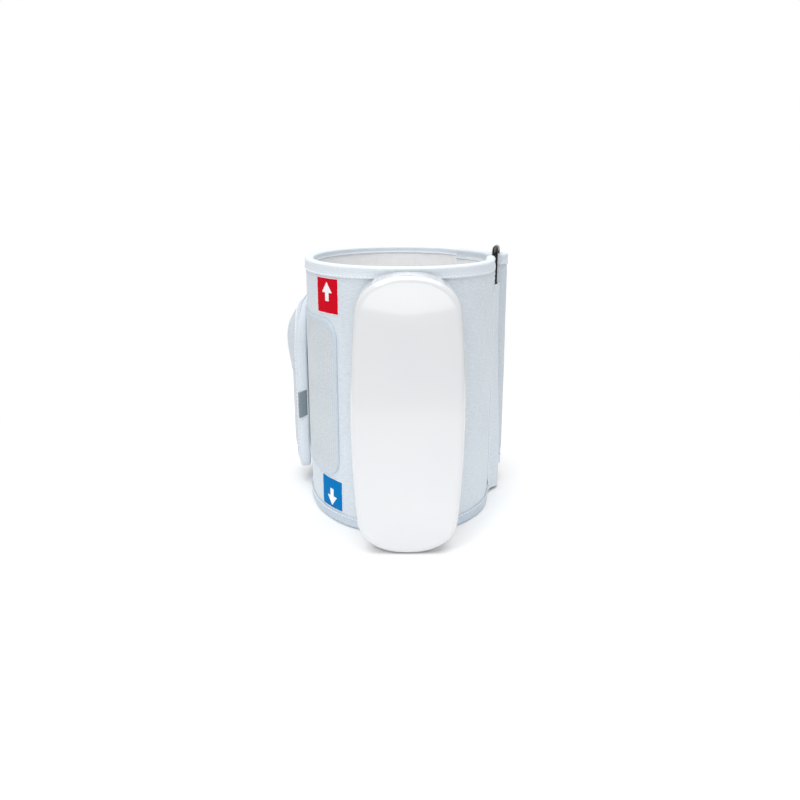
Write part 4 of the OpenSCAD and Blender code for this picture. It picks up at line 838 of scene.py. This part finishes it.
def flap_out(u, z):
    """The flap's outward directions in plan."""
    return to_right(flap_mid(np.minimum(1, u + 0.02), z) - flap_mid(np.maximum(0, u - 0.02), z))


def strap_columns():
    """Each column of the strap before the flap: plan point, and lower and upper edge of the cloth."""
    s = np.linspace(-0.05, 10.9 / 11, 44)
    a = between(CUFF_FROM_A - 0.3, FAR_BAR_A, s)
    plan = [at(a, STRAP_IN_OFF + 0 * a)]
    low = [between(0, STRAP_LO, ease(1.1 * s)) + CAP_T]
    high = [CUFF_H - CAP_T + 0 * a]
    far = at(FAR_BAR_A, FAR_BAR_OFF)
    t = math.atan2(*outward(FAR_BAR_A)[::-1]) + np.radians(180 + np.linspace(0, 180, 40))
    plan.append(far + FOLD_R * np.stack([np.cos(t), np.sin(t)], axis=1))
    low.append(STRAP_LO + CAP_T + 0 * t)
    high.append(CUFF_H - CAP_T + 0 * t)
    s = np.linspace(0.004, 1, 170)
    a = between(FAR_BAR_A, HINGE_A - HINGE_GAP_A, s)
    plan.append(at(a, between(FAR_BAR_OFF + FOLD_R, LAY_OFF, ease((a - FAR_BAR_A) / (SETTLE_A - FAR_BAR_A)))))
    low.append(between(STRAP_LO, HINGE_LO, ease(s)) + CAP_T)
    high.append(between(CUFF_H, HINGE_HI, ease(s)) - CAP_T)
    return [np.concatenate(v) for v in (plan, low, high)]


PLAN, PLAN_LO, PLAN_HI = strap_columns()
PLAN_S = run_of(PLAN)
FLAP_S = PLAN_S[-1] + 0.9
FLAP_US = np.concatenate([np.linspace(0, 1 - CORNER_L / FLAP_LENGTH, 52)[:-1],
                          1 - CORNER_L / FLAP_LENGTH * (1 - np.sin(np.radians(np.arange(0, 91, 3))))])


def strap_middle(s, z):
    """Points of the middle of the strap, and past it the flap, at a length from the strap's seam and a height."""
    u = (s - FLAP_S) / FLAP_LENGTH
    plan = np.stack([np.interp(s, PLAN_S, PLAN[:, k]) for k in (0, 1)], axis=-1)
    return raised(np.where(u[..., None] < 0, plan, flap_mid(np.maximum(u, 0), z)), z)


def strap_sheet(s, z, off):
    """Points of the strap and flap at a length from the strap's seam, a height and a distance off the middle."""
    ahead = strap_middle(s + 0.5, z) - strap_middle(s - 0.5, z)
    up = strap_middle(s, z + 0.4) - strap_middle(s, z - 0.4)
    return strap_middle(s, z) + np.asarray(off)[..., None] * unit(np.cross(ahead, up))


def strap_and_flap():
    """The padded cloth from the seam at the cuff's far end, through the ring and round the back to the flap's free
    end, and the tape along its three open edges."""
    stations = np.concatenate([PLAN_S, FLAP_S + FLAP_LENGTH * FLAP_US])
    low = np.concatenate([PLAN_LO, flap_lo(FLAP_US)])
    high = np.concatenate([PLAN_HI, flap_hi(FLAP_US)])
    end = stations[-1]
    rows = between(np.linspace(0, 1, 80), ease(np.linspace(0, 1, 80)), 0.5)
    s = np.broadcast_to(stations[:, None], (len(stations), 80))
    z = between(low[:, None], high[:, None], rows)
    to_edge = np.minimum(np.minimum(z - low[:, None], high[:, None] - z), end - s)
    padding = ease((to_edge - 4) / 9)
    swell = 0.10 * ripple(s, z, 1.0) * padding
    folds = crease(s, z, PLAN_S[44] + 60, 80, (40, 45), 1.2, 9.0, 0.14) * padding
    fold = 0.6 * np.exp(-((s - PLAN_S[64]) / 13) ** 2) * ease((120 - z) / 70)
    front = strap_sheet(s, z, 1.4 + (0.45 + fold) * padding + swell + folds)
    back = strap_sheet(s, z, -1.3 - 0.15 * padding + swell * 0.5)
    obj = cloth_piece("strap_and_flap_cloth", front, back, s, z, None, STRAP_CLOTH_SHADED)
    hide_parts("strap", "flap")

    top = np.stack([stations[1:], high[1:]], axis=1)
    down = np.stack([np.full(60, end), np.linspace(high[-1], low[-1], 60)], axis=1)[1:-1]
    bottom = np.stack([stations[1:], low[1:]], axis=1)[::-1]
    path = np.concatenate([top, down, bottom])

    def extra(s, z):
        start = 0.5 * (1 - ease(s / 14))
        towards = between(1.6, 0.7, ease((z - LEAN_HI + 2) / 22))
        return start + 0.35 * ease((s - end + 20) / 12), start + towards * ease((s - end + 12) / 7)

    in_fold = (PLAN_S[43], PLAN_S[84])
    tape, sewn = hem("strap_and_flap_edge_tape", path, strap_sheet, STRAP_T, None, extra=extra,
                     finish=STRAP_TAPE_SHADED, bare=in_fold)
    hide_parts("strap_tape", "flap_tape")
    return obj, tape, sewn


def hook_pad():
    """The hook tape on the flap's inside: its stiff hooks stand in rows."""
    low, high = (1000 * v.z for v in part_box("hook_pad"))
    u, v = np.meshgrid(np.linspace(PAD_FROM, PAD_TO, 56), np.linspace(0, 1, 190), indexing="ij")
    z = between(flap_lo(u) + TAPE_H + 2.4, flap_hi(np.minimum(1, u + PAD_TURN)) - TAPE_H - 2.4, v)
    z = np.clip(z, low, high)
    x = u * FLAP_LENGTH
    hooks = HOOK_H * np.clip(np.sin(2 * np.pi * x / HOOK_PITCH) * np.sin(2 * np.pi * z / HOOK_PITCH), 0, 1)
    edge = ease(np.minimum(v * 30, (1 - v) * 30)) * ease(np.minimum(u - PAD_FROM, PAD_TO - u) / 0.008)
    inner = -(STRAP_T / 2 + 0.1)
    back = inner - (HOOK_T - 0.6) - (hooks + 0.1) * edge
    mid, ways = flap_mid(u, z), flap_out(u, z)
    sewn_side, hook_side = grid3(mid + inner * ways, z), grid3(mid + back[..., None] * ways, z)
    obj = cloth_piece("flap_hook_pad", sewn_side, hook_side, x, z, "flap", HOOK_NYLON)
    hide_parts("hook_pad")
    return obj


def pull_tab():
    """The ribbon that is folded round the flap's free end, a little askew."""
    reach = STRAP_T / 2 + TAPE_SWELL + 0.2 + TAB_T / 2 + 0.15
    us = np.linspace(0.975, 1, 8)
    under = np.linspace(0.86, 1, 12)
    tip, out = flap_mid(np.array(1.0), TAB_Z), flap_out(np.array(1.0), TAB_Z)
    back = np.array([out[1], -out[0]])
    over = CAP_T + 0.1 + TAB_T / 2 + 0.1
    outside = flap_mid(us, TAB_Z) + reach * flap_out(us, TAB_Z)
    inside = flap_mid(under, TAB_Z) - reach * flap_out(under, TAB_Z)
    t = np.radians(np.linspace(80, -80, 15))[:, None]
    ahead = over * np.minimum(1, 1.25 * np.cos(t))
    bend = tip - ahead * back + 0.98 * reach * np.sin(t) * out
    turn = np.sin(t) * out - np.cos(t) * back
    path = np.concatenate([outside, bend, inside[::-1]])
    ways = unit(np.concatenate([flap_out(us, TAB_Z), turn, -flap_out(under, TAB_Z)[::-1]]))
    rows = np.linspace(0, 1, 14)
    lengths = run_of(path)
    middle = lengths[len(us) + len(t) // 2]
    z = TAB_Z + TAB_H * rows + TAB_SLANT * np.clip(lengths - middle, -3, 3)[:, None]
    mid = np.broadcast_to(path[:, None], (len(path), 14, 2)) + 0.06 * ripple(lengths * 4, 0)[:, None, None]
    front, back = (grid3(mid + off * ways[:, None], z) for off in (TAB_T / 2, -TAB_T / 2))
    obj = cloth_piece("flap_pull_tab", front, back, lengths[:, None], z, "flap", TAB_RIBBON)
    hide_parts("pull_tab")
    return obj


def ring():
    """The ring of bent wire: an upright rectangle with round corners, from the near bar to the far bar."""
    near, far = at(NEAR_BAR_A, -BAR_INSET), at(FAR_BAR_A, FAR_BAR_OFF)
    w = np.linalg.norm(far - near)
    across = (far - near) / w
    corners = [(RING_R, RING_LO + RING_R, 180), (w - RING_R, RING_LO + RING_R, 270),
               (w - RING_R, RING_HI - RING_R, 0), (RING_R, RING_HI - RING_R, 90)]
    bends = [[(x + RING_R * math.cos(math.radians(t0 + t)), z + RING_R * math.sin(math.radians(t0 + t)))
              for t in range(0, 91, 6)] for x, z, t0 in corners]
    far_bar = np.linspace(bends[1][-1], bends[2][0], 30)[1:-1]
    near_bar = np.linspace(bends[3][-1], bends[0][0], 30)[1:-1]
    path = np.concatenate([bends[0], bends[1], far_bar, bends[2], bends[3], near_bar])
    centre = np.concatenate([near + path[:, :1] * across, path[:, 1:]], axis=1)
    run = unit(np.roll(centre, -1, axis=0) - np.roll(centre, 1, axis=0))
    side = np.array([-across[1], across[0], 0])
    up = np.cross(run, side)
    t = np.radians(np.arange(0, 360, 15))
    rows = centre[:, None] + WIRE_R * (np.cos(t)[:, None] * side + np.sin(t)[:, None] * up[:, None])
    points, faces = loft(rows, closed=True)
    obj = piece("bent_wire_ring", points, faces, "ring", WIRE_PAINTED_DARK, sharp=0)
    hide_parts("metal_ring")
    return obj


# Housing

OUTLINE_M = 64
CORNER_POWER = 0.87
STEM_Y = -91.8


def side_x(dz):
    """Half the housing's width at a height from its middle: its long sides are slightly barrelled."""
    return CASE_W / 2 - dz * dz / (2 * BARREL_R)


def outline(draw_in):
    """The housing's outline, drawn in by a distance: x and z, counted from the middle of the right side."""
    straight = CASE_H / 2 - CASE_END
    k = np.arange(OUTLINE_M + 1)
    sides = OUTLINE_M // 4
    t = np.radians(90 * np.clip((k - sides) / (OUTLINE_M - sides), 0, 1))
    dz = np.where(k <= sides, straight * k / sides, straight + CASE_END * lobe(np.sin(t), CORNER_POWER))
    x = np.where(k <= sides, side_x(dz), side_x(dz) * lobe(np.cos(t), CORNER_POWER))
    quarter = np.stack([x, dz], axis=1)
    quarter[-1, 0] = 0
    flip = [(-1, 1), (-1, -1), (1, -1)]
    ring = [quarter[:-1], quarter[:0:-1] * flip[0], quarter[:-1] * flip[1], quarter[:0:-1] * flip[2]]
    ring = np.concatenate(ring) * [1 - 2 * draw_in / CASE_W, 1 - 2 * draw_in / CASE_H]
    return ring + [CASE_SHIFT, CASE_LO + CASE_H / 2]


def crowned(r, y, draw_in=0.0):
    """Rings of the cover's face as [drawn in by, y]: the shoulder's arc, then the crown."""
    arc_rings = [(draw_in + r * (1 - math.cos(a)), y + CROWN_H + r - r * math.sin(a))
                 for a in np.radians(np.linspace(0, 90, 13))]
    crown = [(between(draw_in + r, CASE_W / 2, f), y + CROWN_H * (1 - f) ** 2)
             for f in (0.02, 0.05, 0.1, 0.16, 0.23, 0.31, 0.4, 0.5, 0.6, 0.7, 0.8, 0.9, 0.97)]
    return arc_rings + crown


def stack(rings):
    """The housing's outline at each [drawn in by, y]."""
    return np.array([np.insert(outline(draw_in), 1, y, axis=1) for draw_in, y in rings])


def closing(ids):
    """Faces across the last ring, from its right half to its left half."""
    m = OUTLINE_M
    faces = []
    for k in list(range(m)) + list(range(3 * m, 4 * m)):
        a, b = ids[k % (4 * m)], ids[(k + 1) % (4 * m)]
        left = 2 * m if k < m else 6 * m
        c, d = ids[(left - k - 1) % (4 * m)], ids[(left - k) % (4 * m)]
        faces.append([v for i, v in enumerate((a, b, c, d)) if v not in (a, b, c, d)[:i]])
    return [f for f in faces if len(f) > 2]


def front_cover():
    """The front cover: a thin shell with a crowned face and round shoulders."""
    outer = [(0.0, PART_Y - 0.02), (0.0, PART_Y - 0.3)] + crowned(SHOULDER_R, FRONT_Y)[1:]
    inner = [(CASE_WALL, PART_Y - 0.02)] + crowned(SHOULDER_R - CASE_WALL, FRONT_Y + CASE_WALL, CASE_WALL)
    rings = stack(outer[::-1] + inner)
    n, m = rings.shape[:2]
    ids = np.arange(n * m).reshape(n, m)
    points, faces = loft(rings)
    faces = faces[:-2] + closing(ids[0]) + closing(ids[-1])
    obj = piece("glossy_front_cover", points, faces, "monitor", GLOSS_WHITE, sharp=50)
    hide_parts("front_cover")
    return obj


def rear_case():
    """The rear case keeps the CAD's shape, with its facets smoothed."""
    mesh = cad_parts["rear_case"].data.copy()
    mesh.name = "rear_case_shell"
    bm = bmesh.new()
    bm.from_mesh(mesh)
    bmesh.ops.remove_doubles(bm, verts=bm.verts, dist=0.000002)
    bmesh.ops.dissolve_limit(bm, angle_limit=math.radians(0.5), verts=bm.verts, edges=bm.edges)
    bm.to_mesh(mesh)
    bm.free()
    mesh.materials.clear()
    mesh.materials.append(GLOSS_WHITE)
    mesh.shade_smooth()
    mesh.set_sharp_from_angle(angle=math.radians(30))
    obj = in_scene("rear_case_shell", mesh)
    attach(obj, "monitor")
    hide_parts("rear_case")
    return obj


def start_button():
    """The button: a long round cap with a soft edge, its flange behind the wall, and its stem."""
    out = CASE_SHIFT + side_x(BUTTON_Z - CASE_H / 2) + BUTTON_OUT
    low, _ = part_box("start_button")
    stem_x = 1000 * low.x - SHIFT[0]
    wall_x = CASE_SHIFT + side_x(abs(BUTTON_Z - CASE_H / 2) + BUTTON_L / 2 + 2) - CASE_WALL - 0.3

    def pill(x, l, w):
        t = np.radians(np.arange(0, 360, 9))
        up = np.sin(t) * w / 2 + np.sign(np.sin(t)) * (l - w) / 2
        return np.stack([np.full(len(t), x), BUTTON_Y + np.cos(t) * w / 2, CASE_LO + BUTTON_Z + up], axis=1)

    cap = [(wall_x - 0.4, 0), (out - 0.6, 0), (out - 0.35, 0.08), (out - 0.15, 0.3), (out - 0.04, 0.65),
           (out, 1.2), (out - 0.02, 2.0), (out - 0.14, 2.4), (out - 0.16, 2.6)]
    parts = [loft(np.array([pill(x, BUTTON_L - 2 * d, BUTTON_W - 2 * d) for x, d in cap]))]
    flange = [(wall_x - 0.8, 0.1), (wall_x - 0.75, 0), (wall_x - 0.05, 0), (wall_x, 0.1)]
    parts.append(loft(np.array([pill(x, BUTTON_L + 2 - 2 * d, BUTTON_W + 1.4 - 2 * d) for x, d in flange])))
    t = np.radians(np.arange(0, 360, 15))
    stem = [np.stack([np.full(len(t), x), STEM_Y + r * np.cos(t), CASE_LO + BUTTON_Z + r * np.sin(t)], axis=1)
            for x, r in ((stem_x, 0.8), (stem_x + 0.3, 1.1), (wall_x - 0.7, 1.1))]
    parts.append(loft(np.array(stem)))
    points, faces = join(parts)
    obj = piece("start_button_cap", points, faces, "button", BUTTON_WHITE, sharp=40)
    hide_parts("start_button")
    return obj


NODE_FINISHES = {
    "dock_plate": SATIN_WHITE, "air_port": SATIN_WHITE, "case_screws": STEEL, "main_board": BOARD,
    "board_chips": CHIP, "pressure_sensor": CHIP, "battery": FOIL, "battery_pad": FOAM, "pump_motor": STEEL,
    "motor_core": COPPER, "motor_shaft": STEEL, "motor_grip": RUBBER, "pump_head": PUMP_NYLON,
    "diaphragm": RUBBER, "pump_cap": PUMP_NYLON, "valve_body": VALVE_RESIN,
    "valve_plunger": STEEL, "air_tubes": TUBE, "tube_tee": PUMP_NYLON, "air_socket": PUMP_NYLON,
    "socket_seal": RUBBER, "push_switch": CHIP, "switch_plunger": PUMP_NYLON, "light_pipe": CLEAR,
    "charge_socket": STEEL,
}


def finish_nodes():
    """Finishes for the CAD's own solids, which stay in view or inside."""
    for name, finish in NODE_FINISHES.items():
        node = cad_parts[name]
        for slot in node.material_slots:
            slot.material = finish


# Studio and camera: lengths in metres, but the camera's place in millimetres as the pieces, its tilt in radians

FLOOR_R = 0.36
SURROUND = 0.47
LAMPS = [("overhead", (0.0, -0.1, 1.75), 2.2, 2.2, 32),
         ("strip", (0.0, -1.15, 0.165), 0.6, 0.26, 1.3),
         ("key", (-0.45, -0.95, 1.05), 0.3, 0.3, 2.8)]
LIT_POINT = (0, 0, 0.07)
EYE = (-0.955, -456.2, 185.46)
LOOK_DOWN = 0.2747
LENS = 33.585


def studio():
    """A white paper disc under the object in a white surround, lit from above, from the front by a low strip and
    from the front left by a smaller panel, which shine in the housing and in the ring. The surround lights the
    object by less than the camera sees of it."""
    mesh = bpy.data.meshes.new("floor")
    bm = bmesh.new()
    bmesh.ops.create_circle(bm, cap_ends=True, radius=FLOOR_R, segments=96)
    bm.to_mesh(mesh)
    bm.free()
    floor = in_scene("floor", mesh)
    finish, tree, shader = blank("white_paper_floor")
    feed(tree, shader, {"Base Color": srgb("#FEFEFE"), "Roughness": 0.95, "Specular IOR Level": 0.1})
    mesh.materials.append(finish)

    world = bpy.data.worlds.new("studio")
    world.use_nodes = True
    tree = world.node_tree
    seen = add(tree, "ShaderNodeLightPath").outputs["Is Camera Ray"]
    power = add(tree, "ShaderNodeMapRange", {"Value": seen, "To Min": SURROUND, "To Max": 1.0}).outputs["Result"]
    background = tree.nodes["Background"]
    background.inputs["Color"].default_value = srgb("#FFFFFF")
    tree.links.new(power, background.inputs["Strength"])
    bpy.context.scene.world = world
    bpy.context.scene.view_settings.view_transform = "Standard"

    for name, where, wide, tall, watts in LAMPS:
        light = bpy.data.lights.new(name, "AREA")
        light.shape = "RECTANGLE"
        light.size, light.size_y = wide, tall
        light.energy = watts
        lamp = in_scene(name, light)
        lamp.location = where
        lamp.rotation_euler = (Vector(LIT_POINT) - lamp.location).to_track_quat("-Z", "Y").to_euler()


def camera():
    """The camera where the photo was taken from: in front, 185 mm up, and looking down by about 16 degrees."""
    data = bpy.data.cameras.new("camera")
    data.sensor_width = 36
    data.lens = LENS
    obj = in_scene("camera", data)
    obj.location = place(EYE).tolist()
    obj.rotation_euler = (math.pi / 2 - LOOK_DOWN, 0, 0)
    bpy.context.scene.camera = obj


def along(a_from, a_to):
    return arc(a_to) - arc(a_from)


camera()
studio()
outer = cuff_cloth()
lining = cuff_lining()
facing = strap_facing()
inner_layer("curled_spring_sheet", "curl_sheet", -1.6, -2.1, 1, SPRING)
inner_layer("air_bladder_film", "air_bladder", -2.2, -3.8, 2, FILM)
hems = cuff_hems()
patch_piece = patch()
up_label, on_up_label = label("up_woven_label", "up_label", "up_arrow", RED_LABEL, 1)
down_label, on_down_label = label("down_woven_label", "down_label", "down_arrow", BLUE_LABEL, -1)
sleeve_piece, sleeve_sewn = sleeve()
strap, strap_hem, strap_stitches = strap_and_flap()
for obj in (strap, strap_hem, strap_stitches):
    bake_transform(obj)
hooks = hook_pad()
tab = pull_tab()
ring_piece = ring()
cover = front_cover()
rear = rear_case()
button = start_button()
finish_nodes()
